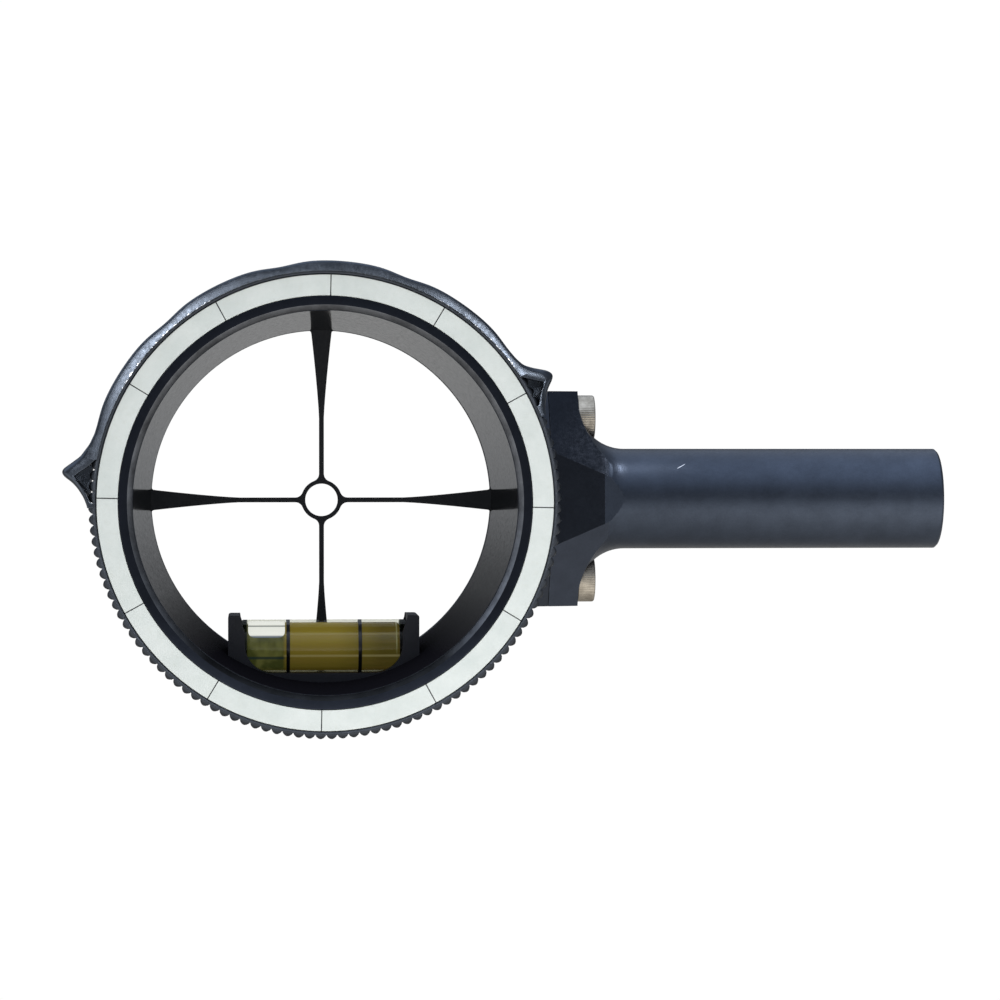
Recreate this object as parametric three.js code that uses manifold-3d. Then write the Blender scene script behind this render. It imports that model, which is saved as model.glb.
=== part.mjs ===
// Sighting ring: a short tube with a crosshair and a level vial, a turning graduated ring with a
// knurled rim and a winged finger grip around its front, and a flanged round stem on one side.
// Millimetres. The ring axis is Y (the front faces -Y), the stem runs along +X, Z is up.
// The pieces are drawn about the ring axis, with the stem slightly above it, and the finished
// part is then moved so that its origin is the centre of the stem's end face.
import * as THREE from 'three';
import { mergeVertices } from 'three/addons/utils/BufferGeometryUtils.js';
import Module from 'manifold-3d';

const wasm = await Module();
wasm.setup();

// Facets around the large rings, around stem-size parts and around screws
const ROUND = 64;
const MEDIUM = 32;
const SMALL = 16;
const WELD = 1e-4;
const GAP = 0.06;
const SEAT_GAP = 0.02;
const DEG = Math.PI / 180;

// Bore of the tube, slightly conical
const BORE_FRONT_R = 22.22;
const BORE_REAR_R = 20.92;
const TUBE_FRONT_Y = -15.2;
const TUBE_REAR_Y = 14.5;

// Outside of the tube
const THREAD_R = 23.32;
const JOURNAL_R = 24.36;
const JOURNAL_FRONT_Y = -11.45;
const COLLAR_R = 26.35;
const COLLAR_FRONT_Y = -6.0;
const COLLAR_REAR_Y = 7.5;
const REAR_RIM_R = 24.4;
const EDGE = 0.4;

// Seal groove in the journal
const GROOVE_R = 23.61;
const GROOVE_Y = -9.0;
const GROOVE_WIDTH = 1.3;

// Front bezel
const BEZEL_FRONT_Y = -16.0;
const BEZEL_LIP_R = 23.86;
const BEZEL_BORE_R = 22.29;
const BEZEL_CHAMFER = 0.56;
const BEZEL_FLANGE_R = 25.15;
const BEZEL_FLANGE_Y = -13.8;
const BEZEL_REAR_Y = -11.6;

// Scale ring with twelve index marks
const SCALE_INNER_R = BEZEL_LIP_R + GAP;
const SCALE_OUTER_R = 26.34;
const SCALE_FRONT_Y = -15.9;
const SCALE_REAR_Y = -14.15;
const MARK_COUNT = 12;
const MARK_WIDTH = 0.14;
const MARK_DEPTH = 0.1;
const MARK_TURN = 1.25 * DEG;

// Knurled ring
const KNURL_TIP_R = 27.32;
const KNURL_ROOT_R = 26.86;
const KNURL_TEETH = 132;
const KNURL_FRONT_Y = -15.7;
const KNURL_REAR_Y = -6.5;
const KNURL_CHAMFER = 0.35;
const WEB_FRONT_Y = -11.5;

// Finger grip cover
const COVER_FRONT_Y = -16.3;
const COVER_LIP_REAR_Y = KNURL_FRONT_Y - GAP;
const COVER_LIP_R = 26.72;
const COVER_R = 27.88;
const COVER_LEAN = 0.15;
const COVER_LEAN_ANGLE = 150 * DEG;
const WING_TIP_R = 30.58;
const WING_RIGHT = 30 * DEG;
const WING_LEFT = 173 * DEG;
const WING_REACH = 6.5 * DEG;
const WING_POWER = 1.7;
const WING_BLUNT = 0.55 * DEG;
const TAIL_REACH = 9 * DEG;
const TAIL_END = 8.2 * DEG;
const TAIL_R = 27.6;
const SCALLOP_FIRST = 39.5 * DEG;
const SCALLOP_STEP = 30.75 * DEG;
const SCALLOP_COUNT = 5;
const SCALLOP_HALF = 5 * DEG;
const SCALLOP_DEPTH = 0.3;
const COVER_ROUNDING = 0.35;
const POCKET_DEPTH = 6.5;
const POCKET_INNER_R = 26.95;
const POCKETS = [
  { wing: WING_RIGHT, inward: 1, reach: 2.5 * DEG, peakR: 29.0, peak: -0.5 * DEG, tail: -5.8 * DEG },
  { wing: WING_LEFT, inward: -1, reach: 5.6 * DEG, peakR: 29.5, peak: 0.1 * DEG, tail: -6.2 * DEG },
];

// Cover screws, radial, on both sides of the top
const COVER_SCREW_ANGLES = { left: 147 * DEG, right: 55 * DEG };
const COVER_SCREW_Y = -10.0;
const COVER_SCREW_HEAD_R = 1.3;
const COVER_SCREW_R = 0.8;
const COVER_SCREW_OUT = 27.8;
const COVER_SCREW_SEAT = 27.5;
const COVER_SCREW_IN = 25.15;

// Crosshair
const RETICLE_FRONT_Y = 12.0;
const RETICLE_REAR_Y = 13.1;
const RETICLE_RIM_R = 22.6;
const EYE_OUTER_R = 2.5;
const EYE_INNER_R = 2.0;
const VANE_ROOT = 2.45;
const VANE_THIN = 0.6;
const VANE_KNEE_R = 10.1;
const ROOT_FILLET = 0.25;
const EYE_FILLET = 0.7;
const REAR_SEAT_R = 22.7;

// Level vial: axis along X below the ring axis
const VIAL_Y = 2.0;
const VIAL_Z = -17.5;
const VIAL_R = 3.23;
const VIAL_HALF = 10.0;
const VIAL_BORE_R = 2.45;
const VIAL_CHAMBER = 9.2;
const LINE_WIDTH = 0.45;
const LINE_DEPTH = 0.16;
const LINE_X = { left: -4.24, right: 4.37 };
const BUBBLE_LENGTH = 4.4;
const BUBBLE_R = 1.2;
const BUBBLE_LIFT = 1.16;
const BUBBLE_PLAY = 0.06;

// Vial holder
const HOLDER_HALF_X = 11.4;
const HOLDER_FRONT_Y = -2.0;
const HOLDER_REAR_Y = 6.0;
const HOLDER_TOP_Z = -13.6;
const HOLDER_BASE_R = 23.6;
const WINDOW_TOP_X = 10.0;
const WINDOW_X = 9.4;
const WINDOW_SLANT_Z = -15.6;
const WINDOW_FLOOR_Z = -20.74;
const WINDOW_CORNER = 3.3;
const HOLDER_SCREW_X = 3.2;
const HOLDER_SCREW_R = 1.0;
const HOLDER_SCREW_HEAD_R = 1.8;
const HOLDER_SCREW_SEAT_Z = -24.5;
const HOLDER_SCREW_TOP_Z = -21.2;
const HOLDER_SCREW_HEAD = 1.2;

// Flange and stem
const STEM_R = 6.0;
const STEM_RISE = 0.28;
const STEM_END_X = 74.1;
const STEM_CHAMFER = 0.25;
const FLANGE_FRONT_X = 26.95;
const FLANGE_REAR_X = 30.55;
const FLANGE_HALF_Z = 12.92;
const FLANGE_BACK_Y = 7.0;
const FLANGE_CORNER = 2.0;
const FLANGE_EDGE = 0.35;
const FLARE = 5.6;
const FLAT_Y = -5.8;
const FLAT_END_X = 34.3;
const FLAT_END_HALF = 2.5;
const FLAT_SPREAD = 0.435;
const FACET_SLOPE = 0.7;

// Flange screws
const SCREW_Y = 1.2;
const SCREW_Z = 9.7;
const SCREW_R = 1.5;
const SCREW_HEAD_R = 2.75;
const SCREW_HEAD = 2.05;
const SCREW_TIP_X = 22.9;
const SCREW_HEX_R = 1.15;
const SCREW_HEX_DEPTH = 1.2;
const SPOT_R = 2.95;

const paint = (color, roughness, metalness) => (
  () => new THREE.MeshStandardMaterial({ color, roughness, metalness })
);
const anodised = paint(0x23272e, 0.45, 0.8);
const anodisedDark = paint(0x16181c, 0.6, 0.6);
const satinSteel = paint(0xb9b3a6, 0.35, 1.0);
const paleEnamel = paint(0xd6ddd8, 0.5, 0.1);
const blackPlastic = paint(0x14161a, 0.55, 0.0);
const blackRubber = paint(0x0c0c0d, 0.85, 0.0);
const clearPlastic = paint(0xdfe6c8, 0.1, 0.0);
const levelLiquid = paint(0xb8aa3c, 0.15, 0.0);
const airWhite = paint(0xf4f7f2, 0.1, 0.0);
const lineInk = paint(0x0a0a0b, 0.6, 0.0);
const glidePlastic = paint(0xe9e6da, 0.5, 0.0);

function toSolid(geometry) {
  const bare = geometry.clone();
  bare.deleteAttribute('normal');
  bare.deleteAttribute('uv');
  const welded = mergeVertices(bare, WELD);
  return new wasm.Manifold(new wasm.Mesh({
    numProp: 3,
    vertProperties: new Float32Array(welded.attributes.position.array),
    triVerts: new Uint32Array(welded.index.array),
  }));
}

function toGeometry(body) {
  const shell = body.getMesh();
  const geometry = new THREE.BufferGeometry();
  geometry.setAttribute('position', new THREE.BufferAttribute(shell.vertProperties, 3));
  geometry.setIndex(new THREE.BufferAttribute(shell.triVerts, 1));
  geometry.computeVertexNormals();
  return geometry;
}

const cut = (geometry, ...tools) => toGeometry(
  tools.reduce((body, tool) => body.subtract(toSolid(tool)), toSolid(geometry)),
);
const join = (geometry, ...others) => toGeometry(
  others.reduce((body, other) => body.add(toSolid(other)), toSolid(geometry)),
);
const keep = (geometry, limit) => toGeometry(toSolid(geometry).intersect(toSolid(limit)));

// Closed profile of [radius, y] points, anticlockwise with y upwards, turned about Y
function turned(profile, facets = ROUND) {
  const points = [...profile, profile[0]].map(([r, y]) => new THREE.Vector2(r, y));
  return new THREE.LatheGeometry(points, facets);
}

// A profile of [radius, x] points on the axis at both ends, turned about X
function turnedAlongX(profile, facets = MEDIUM) {
  const points = profile.map(([r, x]) => new THREE.Vector2(r, x));
  return new THREE.LatheGeometry(points, facets).rotateZ(-Math.PI / 2);
}

const rod = (radius, from, to, facets = SMALL) => turnedAlongX(
  [[0, from], [radius, from], [radius, to], [0, to]],
  facets,
);

// Box between two corners
function block([x0, y0, z0], [x1, y1, z1]) {
  const box = new THREE.BoxGeometry(x1 - x0, y1 - y0, z1 - z0);
  return box.translate((x0 + x1) / 2, (y0 + y1) / 2, (z0 + z1) / 2);
}

// Body through equal-length [x, z] outlines at rising y, anticlockwise as seen from the front
function lofted(sections) {
  const count = sections[0].outline.length;
  const positions = sections.flatMap(({ y, outline }) => outline.flatMap(([x, z]) => [x, y, z]));
  const contour = sections[0].outline.map(([x, z]) => new THREE.Vector2(x, z));
  const last = (sections.length - 1) * count;
  const index = [];
  for (const [a, b, c] of THREE.ShapeUtils.triangulateShape(contour, [])) {
    index.push(a, b, c, last + a, last + c, last + b);
  }
  for (let level = 0; level < last; level += count) {
    for (let i = 0; i < count; i += 1) {
      const j = (i + 1) % count;
      index.push(level + i, level + count + i, level + count + j);
      index.push(level + i, level + count + j, level + j);
    }
  }
  const geometry = new THREE.BufferGeometry();
  geometry.setAttribute('position', new THREE.Float32BufferAttribute(positions, 3));
  geometry.setIndex(index);
  return geometry;
}

const polar = (radius, angle) => [radius * Math.cos(angle), radius * Math.sin(angle)];

function arc(radius, from, to, steps, centre = [0, 0]) {
  return Array.from({ length: steps + 1 }, (_, i) => {
    const [x, z] = polar(radius, from + (to - from) * (i / steps));
    return [centre[0] + x, centre[1] + z];
  });
}

// Limits of the flange front: a middle flat narrowing towards the stem and a facet on each side
function flangeFront() {
  const farX = 50;
  const nearX = 15;
  const spread = 30;
  const halfAt = (x) => FLAT_END_HALF + (FLAT_END_X - x) * FLAT_SPREAD;
  const slope = Math.hypot(1, FLAT_SPREAD);
  const wedge = (side) => {
    const point = (x, out, lift) => [
      x,
      FLAT_Y + FACET_SLOPE * (out / slope) + lift,
      side * (halfAt(x) + out),
    ];
    const corners = [
      point(nearX, -1, 0), point(farX, -1, 0), point(farX, spread, 0), point(nearX, spread, 0),
      point(nearX, -1, -spread), point(farX, -1, -spread), point(farX, spread, -spread),
      point(nearX, spread, -spread),
    ];
    const faces = [
      [0, 1, 2], [0, 2, 3], [4, 6, 5], [4, 7, 6], [0, 5, 1], [0, 4, 5],
      [1, 6, 2], [1, 5, 6], [2, 7, 3], [2, 6, 7], [3, 4, 0], [3, 7, 4],
    ];
    const geometry = new THREE.BufferGeometry();
    geometry.setAttribute('position', new THREE.Float32BufferAttribute(corners.flat(), 3));
    geometry.setIndex(faces.flatMap(([a, b, c]) => (side > 0 ? [a, c, b] : [a, b, c])));
    return geometry;
  };
  return [wedge(1), wedge(-1)];
}

// Outline of the flange seen along the stem, as [y, z] points
function flangeBlock(fromX, toX) {
  const outline = new THREE.Shape();
  const back = FLANGE_BACK_Y - FLANGE_CORNER;
  const top = FLANGE_HALF_Z - FLANGE_CORNER;
  outline.moveTo(FLAT_Y, FLANGE_HALF_Z - FLANGE_EDGE);
  outline.lineTo(FLAT_Y, -FLANGE_HALF_Z + FLANGE_EDGE);
  outline.lineTo(FLAT_Y + FLANGE_EDGE, -FLANGE_HALF_Z);
  outline.lineTo(back, -FLANGE_HALF_Z);
  outline.absarc(back, -top, FLANGE_CORNER, -Math.PI / 2, 0, false);
  outline.lineTo(FLANGE_BACK_Y, top);
  outline.absarc(back, top, FLANGE_CORNER, 0, Math.PI / 2, false);
  outline.lineTo(FLAT_Y + FLANGE_EDGE, FLANGE_HALF_Z);
  const solid = new THREE.ExtrudeGeometry(outline, {
    depth: toX - fromX, bevelEnabled: false, curveSegments: 4,
  });
  return solid.rotateX(Math.PI / 2).rotateZ(Math.PI / 2).translate(fromX, 0, 0);
}

function flangeScrewPlaces() {
  return { upper: SCREW_Z, lower: -SCREW_Z };
}

// ---- fixed parts ----

function housingTube() {
  const body = turned([
    [BORE_FRONT_R, TUBE_FRONT_Y],
    [THREAD_R, TUBE_FRONT_Y],
    [THREAD_R, JOURNAL_FRONT_Y],
    [JOURNAL_R, JOURNAL_FRONT_Y],
    [JOURNAL_R, GROOVE_Y - GROOVE_WIDTH / 2],
    [GROOVE_R, GROOVE_Y - GROOVE_WIDTH / 2],
    [GROOVE_R, GROOVE_Y + GROOVE_WIDTH / 2],
    [JOURNAL_R, GROOVE_Y + GROOVE_WIDTH / 2],
    [JOURNAL_R, COLLAR_FRONT_Y],
    [COLLAR_R - EDGE, COLLAR_FRONT_Y],
    [COLLAR_R, COLLAR_FRONT_Y + EDGE],
    [COLLAR_R, COLLAR_REAR_Y - EDGE],
    [COLLAR_R - EDGE, COLLAR_REAR_Y],
    [REAR_RIM_R, COLLAR_REAR_Y],
    [REAR_RIM_R, TUBE_REAR_Y - EDGE],
    [REAR_RIM_R - EDGE, TUBE_REAR_Y],
    [REAR_SEAT_R, TUBE_REAR_Y],
    [REAR_SEAT_R, RETICLE_FRONT_Y],
    [BORE_REAR_R, RETICLE_FRONT_Y],
  ]);
  const saddleOuter = cut(flangeBlock(18, FLANGE_FRONT_X - SEAT_GAP), ...flangeFront())
    .translate(0, 0, STEM_RISE);
  const inside = turned([
    [0, TUBE_FRONT_Y - 1],
    [BORE_FRONT_R + 1, TUBE_FRONT_Y - 1],
    [BORE_FRONT_R + 1, TUBE_REAR_Y + 1],
    [0, TUBE_REAR_Y + 1],
  ]);
  const saddle = cut(saddleOuter, inside);
  const pocket = block(
    [-HOLDER_HALF_X - GAP, HOLDER_FRONT_Y - GAP, -HOLDER_BASE_R - 1],
    [HOLDER_HALF_X + GAP, HOLDER_REAR_Y + GAP, HOLDER_TOP_Z],
  );
  const pocketLimit = turned([
    [0, HOLDER_FRONT_Y - 1],
    [HOLDER_BASE_R + GAP, HOLDER_FRONT_Y - 1],
    [HOLDER_BASE_R + GAP, HOLDER_REAR_Y + 1],
    [0, HOLDER_REAR_Y + 1],
  ]);
  const holderHoles = [-HOLDER_SCREW_X, HOLDER_SCREW_X].map((x) => (
    screwHole(HOLDER_SCREW_R + GAP, HOLDER_SCREW_HEAD_R + GAP, -30, HOLDER_SCREW_SEAT_Z, -20)
      .rotateY(-Math.PI / 2)
      .translate(x, VIAL_Y, 0)
  ));
  const flangeHoles = Object.values(flangeScrewPlaces()).map((z) => (
    rod(SCREW_R + GAP, SCREW_TIP_X - 0.4, 40).translate(0, SCREW_Y, z + STEM_RISE)
  ));
  return cut(join(body, saddle), keep(pocket, pocketLimit), ...holderHoles, ...flangeHoles);
}

// Stepped hole along X: head space up to the seat, then the shank space
function screwHole(radius, headRadius, headFrom, seat, to) {
  return turnedAlongX([
    [0, headFrom], [headRadius, headFrom], [headRadius, seat], [radius, seat], [radius, to], [0, to],
  ], SMALL);
}

function frontBezel() {
  const ring = turned([
    [BEZEL_BORE_R + BEZEL_CHAMFER, BEZEL_FRONT_Y],
    [BEZEL_LIP_R, BEZEL_FRONT_Y],
    [BEZEL_LIP_R, BEZEL_FLANGE_Y],
    [BEZEL_FLANGE_R, BEZEL_FLANGE_Y],
    [BEZEL_FLANGE_R, BEZEL_REAR_Y],
    [THREAD_R + GAP, BEZEL_REAR_Y],
    [THREAD_R + GAP, TUBE_FRONT_Y - SEAT_GAP],
    [BEZEL_BORE_R, TUBE_FRONT_Y - SEAT_GAP],
    [BEZEL_BORE_R, BEZEL_FRONT_Y + BEZEL_CHAMFER],
  ]);
  return ring;
}

function frictionRing() {
  const sectionR = 0.36;
  const middle = GROOVE_R + SEAT_GAP + sectionR;
  const section = arc(sectionR, 0, Math.PI * 2, 6, [middle, GROOVE_Y]).slice(0, -1);
  return turned(section);
}

function thrustWasher() {
  const thickness = 0.38;
  const rear = COLLAR_FRONT_Y - GAP;
  return turned([
    [JOURNAL_R + GAP, rear - thickness],
    [COLLAR_R - EDGE, rear - thickness],
    [COLLAR_R - EDGE, rear],
    [JOURNAL_R + GAP, rear],
  ]);
}

function reticle() {
  const thin = VANE_THIN / 2;
  const root = VANE_ROOT / 2;
  const rimInner = BORE_REAR_R;
  const window = (quarter) => {
    const start = quarter * (Math.PI / 2);
    const rimFrom = Math.asin((root + ROOT_FILLET) / rimInner);
    const eyeFrom = Math.asin((thin + EYE_FILLET) / EYE_OUTER_R);
    const outline = [
      [VANE_KNEE_R, thin],
      [Math.sqrt(rimInner ** 2 - root ** 2) - ROOT_FILLET, root],
      ...arc(rimInner, rimFrom, Math.PI / 2 - rimFrom, 16),
      [root, Math.sqrt(rimInner ** 2 - root ** 2) - ROOT_FILLET],
      [thin, VANE_KNEE_R],
      [thin, Math.sqrt(EYE_OUTER_R ** 2 - thin ** 2) + EYE_FILLET],
      ...arc(EYE_OUTER_R, Math.PI / 2 - eyeFrom, eyeFrom, 6),
      [Math.sqrt(EYE_OUTER_R ** 2 - thin ** 2) + EYE_FILLET, thin],
    ];
    return outline.map(([x, z]) => [
      x * Math.cos(start) - z * Math.sin(start),
      x * Math.sin(start) + z * Math.cos(start),
    ]);
  };
  const path = (points) => points.map(([x, z]) => new THREE.Vector2(x, z));
  const plate = new THREE.Shape(path(arc(RETICLE_RIM_R, 0, Math.PI * 2, ROUND).slice(0, -1)));
  plate.holes = [0, 1, 2, 3].map((quarter) => new THREE.Path(path(window(quarter))));
  plate.holes.push(new THREE.Path(path(arc(EYE_INNER_R, 0, Math.PI * 2, SMALL).slice(0, -1))));
  const sheet = new THREE.ExtrudeGeometry(plate, {
    depth: RETICLE_REAR_Y - RETICLE_FRONT_Y - SEAT_GAP, bevelEnabled: false,
  });
  sheet.rotateX(Math.PI / 2).translate(0, RETICLE_REAR_Y, 0);
  return sheet;
}

function reticleRetainer() {
  const front = RETICLE_REAR_Y + SEAT_GAP;
  const ring = turned([
    [BORE_REAR_R, front],
    [REAR_SEAT_R - GAP, front],
    [REAR_SEAT_R - GAP, TUBE_REAR_Y],
    [BORE_REAR_R + EDGE / 2, TUBE_REAR_Y],
    [BORE_REAR_R, TUBE_REAR_Y - EDGE / 2],
  ]);
  const notch = 0.6;
  const slots = block([-30, TUBE_REAR_Y - notch, -notch], [30, TUBE_REAR_Y + 1, notch]);
  return cut(ring, slots);
}

function vialHolder() {
  const baseAngle = Math.acos(HOLDER_HALF_X / HOLDER_BASE_R);
  const outline = [
    ...arc(HOLDER_BASE_R, -Math.PI + baseAngle, -baseAngle, 12),
    [HOLDER_HALF_X, HOLDER_TOP_Z - EDGE / 2],
    [HOLDER_HALF_X - EDGE / 2, HOLDER_TOP_Z],
    [-HOLDER_HALF_X + EDGE / 2, HOLDER_TOP_Z],
    [-HOLDER_HALF_X, HOLDER_TOP_Z - EDGE / 2],
  ];
  const body = lofted([{ y: HOLDER_FRONT_Y, outline }, { y: HOLDER_REAR_Y, outline }]);
  const cornerX = WINDOW_X - WINDOW_CORNER;
  const cornerZ = WINDOW_FLOOR_Z + WINDOW_CORNER;
  const opening = [
    ...arc(WINDOW_CORNER, -Math.PI, -Math.PI / 2, 6, [-cornerX, cornerZ]),
    ...arc(WINDOW_CORNER, -Math.PI / 2, 0, 6, [cornerX, cornerZ]),
    [WINDOW_X, WINDOW_SLANT_Z],
    [WINDOW_TOP_X, HOLDER_TOP_Z],
    [WINDOW_TOP_X, HOLDER_TOP_Z + 1],
    [-WINDOW_TOP_X, HOLDER_TOP_Z + 1],
    [-WINDOW_TOP_X, HOLDER_TOP_Z],
    [-WINDOW_X, WINDOW_SLANT_Z],
  ];
  const window = lofted([
    { y: HOLDER_FRONT_Y - 1, outline: opening },
    { y: HOLDER_REAR_Y + 1, outline: opening },
  ]);
  const seatR = VIAL_R + GAP;
  const seatHalf = VIAL_HALF + GAP;
  const seat = rod(seatR, -seatHalf, seatHalf, MEDIUM).translate(0, VIAL_Y, VIAL_Z);
  const entry = block(
    [-seatHalf, VIAL_Y - seatR, VIAL_Z],
    [seatHalf, VIAL_Y + seatR, HOLDER_TOP_Z + 1],
  );
  const holes = [-HOLDER_SCREW_X, HOLDER_SCREW_X].map((x) => (
    rod(HOLDER_SCREW_R + GAP, -30, HOLDER_SCREW_TOP_Z + GAP)
      .rotateY(-Math.PI / 2)
      .translate(x, VIAL_Y, 0)
  ));
  return cut(body, window, seat, entry, ...holes);
}

// Ring around X with its own width, used for the vial lines and their grooves
const band = (inner, outer, x, width) => turned([
  [inner, -width / 2], [outer, -width / 2], [outer, width / 2], [inner, width / 2],
], MEDIUM).rotateZ(-Math.PI / 2).translate(x, VIAL_Y, VIAL_Z);

function vialTube() {
  const tube = turnedAlongX([
    [0, -VIAL_HALF],
    [VIAL_R - EDGE, -VIAL_HALF],
    [VIAL_R, -VIAL_HALF + EDGE],
    [VIAL_R, VIAL_HALF - EDGE / 2],
    [VIAL_R - EDGE / 2, VIAL_HALF],
    [VIAL_BORE_R, VIAL_HALF],
    [VIAL_BORE_R, -VIAL_CHAMBER + EDGE],
    [VIAL_BORE_R - EDGE, -VIAL_CHAMBER],
    [0, -VIAL_CHAMBER],
  ]).translate(0, VIAL_Y, VIAL_Z);
  const grooves = Object.values(LINE_X).map((x) => (
    band(VIAL_R - LINE_DEPTH, VIAL_R + 1, x, LINE_WIDTH + SEAT_GAP)
  ));
  return cut(tube, ...grooves);
}

const vialLine = (x) => band(VIAL_R - LINE_DEPTH + SEAT_GAP, VIAL_R, x, LINE_WIDTH - SEAT_GAP);

function vialPlug() {
  const plug = rod(VIAL_BORE_R - SEAT_GAP, VIAL_CHAMBER + SEAT_GAP, VIAL_HALF, MEDIUM);
  return plug.translate(0, VIAL_Y, VIAL_Z);
}

// Capsule along X from x to x + length
function capsule(radius, x, length) {
  const steps = 6;
  const quarter = (centre, from, to) => arc(radius, from, to, steps, [0, centre]);
  const start = quarter(x + radius, -Math.PI / 2, 0);
  const end = quarter(x + length - radius, 0, Math.PI / 2);
  const profile = [...start, ...end];
  profile[0][0] = 0;
  profile[profile.length - 1][0] = 0;
  return turnedAlongX(profile, SMALL).translate(0, VIAL_Y, VIAL_Z + BUBBLE_LIFT);
}

const BUBBLE_START_X = -VIAL_CHAMBER + 3 * BUBBLE_PLAY;

function vialLiquid() {
  const radius = VIAL_BORE_R - SEAT_GAP;
  const from = -VIAL_CHAMBER + SEAT_GAP;
  const fill = turnedAlongX([
    [0, from], [radius - EDGE, from], [radius, from + EDGE], [radius, VIAL_CHAMBER], [0, VIAL_CHAMBER],
  ]).translate(0, VIAL_Y, VIAL_Z);
  const channelR = BUBBLE_R + BUBBLE_PLAY;
  const channelHalf = VIAL_CHAMBER - BUBBLE_PLAY;
  const channel = capsule(channelR, -channelHalf, 2 * channelHalf);
  const above = block(
    [-channelHalf + channelR, VIAL_Y - channelR, VIAL_Z + BUBBLE_LIFT],
    [channelHalf - channelR, VIAL_Y + channelR, VIAL_Z + VIAL_R],
  );
  return cut(fill, channel, above);
}

const bubble = () => capsule(BUBBLE_R, BUBBLE_START_X, BUBBLE_LENGTH);

function stem() {
  const flare = Array.from({ length: 9 }, (_, i) => {
    const angle = (i / 8) * (Math.PI / 2);
    return [
      STEM_R + FLARE - FLARE * Math.sin(angle),
      FLANGE_REAR_X + FLARE - FLARE * Math.cos(angle),
    ];
  });
  const neck = turnedAlongX([[0, FLANGE_REAR_X - 1], [STEM_R + FLARE, FLANGE_REAR_X - 1], ...flare,
    [0, FLANGE_REAR_X + FLARE]]);
  const spigot = turnedAlongX([
    [0, FLAT_END_X],
    [STEM_R, FLAT_END_X],
    [STEM_R, STEM_END_X - STEM_CHAMFER],
    [STEM_R - STEM_CHAMFER, STEM_END_X],
    [0, STEM_END_X],
  ]);
  const root = join(flangeBlock(FLANGE_FRONT_X, FLANGE_REAR_X), neck);
  const front = block([0, -20, -20], [50, FLAT_Y, 20]);
  const back = block([0, FLANGE_BACK_Y, -20], [50, 20, 20]);
  const shaped = join(cut(root, front, back, ...flangeFront()), spigot);
  const spots = Object.values(flangeScrewPlaces()).flatMap((z) => [
    rod(SPOT_R, FLANGE_REAR_X, 45).translate(0, SCREW_Y, z),
    rod(SCREW_R + GAP, 0, 45).translate(0, SCREW_Y, z),
  ]);
  return cut(shaped, ...spots).translate(0, 0, STEM_RISE);
}

// Low cap screw with a hexagon socket; the head lies towards +X from x = 0
function capScrew(shankR, headR, head, length, hexR, hexDepth) {
  const break_ = 0.25;
  const body = turnedAlongX([
    [0, -length],
    [shankR - break_, -length],
    [shankR, -length + break_],
    [shankR, 0],
    [headR - break_ / 2, 0],
    [headR, break_ / 2],
    [headR, head - break_],
    [headR - break_, head],
    [0, head],
  ], SMALL);
  return cut(body, rod(hexR, head - hexDepth, head + 1, 6));
}

const flangeScrew = (z) => capScrew(
  SCREW_R,
  SCREW_HEAD_R,
  SCREW_HEAD,
  FLANGE_REAR_X - SCREW_TIP_X,
  SCREW_HEX_R,
  SCREW_HEX_DEPTH,
).translate(FLANGE_REAR_X + SEAT_GAP, SCREW_Y, z + STEM_RISE);

const holderScrew = (x) => capScrew(
  HOLDER_SCREW_R,
  HOLDER_SCREW_HEAD_R,
  HOLDER_SCREW_HEAD,
  HOLDER_SCREW_TOP_Z - HOLDER_SCREW_SEAT_Z,
  0.75,
  0.7,
).rotateY(Math.PI / 2).translate(x, VIAL_Y, HOLDER_SCREW_SEAT_Z - SEAT_GAP);

// ---- turning parts ----

function knurledRing() {
  const outline = (inset) => Array.from({ length: KNURL_TEETH * 2 }, (_, i) => {
    const radius = Math.min(i % 2 ? KNURL_TIP_R : KNURL_ROOT_R, KNURL_TIP_R - inset);
    return polar(radius, (i / (KNURL_TEETH * 2)) * Math.PI * 2);
  });
  const rim = lofted([
    { y: KNURL_FRONT_Y, outline: outline(KNURL_CHAMFER + 0.05) },
    { y: KNURL_FRONT_Y + KNURL_CHAMFER, outline: outline(0) },
    { y: KNURL_REAR_Y - KNURL_CHAMFER, outline: outline(0) },
    { y: KNURL_REAR_Y, outline: outline(KNURL_CHAMFER + 0.05) },
  ]);
  const bore = turned([
    [0, KNURL_FRONT_Y - 1],
    [SCALE_OUTER_R + GAP, KNURL_FRONT_Y - 1],
    [SCALE_OUTER_R + GAP, SCALE_REAR_Y],
    [BEZEL_FLANGE_R + 0.15, SCALE_REAR_Y],
    [BEZEL_FLANGE_R + 0.15, WEB_FRONT_Y],
    [JOURNAL_R + GAP, WEB_FRONT_Y],
    [JOURNAL_R + GAP, KNURL_REAR_Y + 1],
    [0, KNURL_REAR_Y + 1],
  ]);
  const holes = Object.values(COVER_SCREW_ANGLES).map((angle) => coverScrewSpace(angle));
  return cut(rim, bore, ...holes);
}

// Radial screw axis at an angle above +X, at the screw's depth along the ring axis
const placeCoverScrew = (geometry, angle) => geometry.rotateY(-angle).translate(0, COVER_SCREW_Y, 0);

const coverScrewSpace = (angle) => placeCoverScrew(
  screwHoleInwards(COVER_SCREW_R + GAP, COVER_SCREW_HEAD_R + GAP, COVER_SCREW_IN - 0.1, COVER_SCREW_SEAT, 33),
  angle,
);

function screwHoleInwards(radius, headRadius, from, seat, to) {
  return turnedAlongX([
    [0, from], [radius, from], [radius, seat], [headRadius, seat], [headRadius, to], [0, to],
  ], SMALL);
}

const coverScrew = (angle) => placeCoverScrew(
  capScrew(
    COVER_SCREW_R,
    COVER_SCREW_HEAD_R,
    COVER_SCREW_OUT - COVER_SCREW_SEAT,
    COVER_SCREW_SEAT - COVER_SCREW_IN,
    0.5,
    0.25,
  ).translate(COVER_SCREW_SEAT + SEAT_GAP, 0, 0),
  angle,
);

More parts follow.
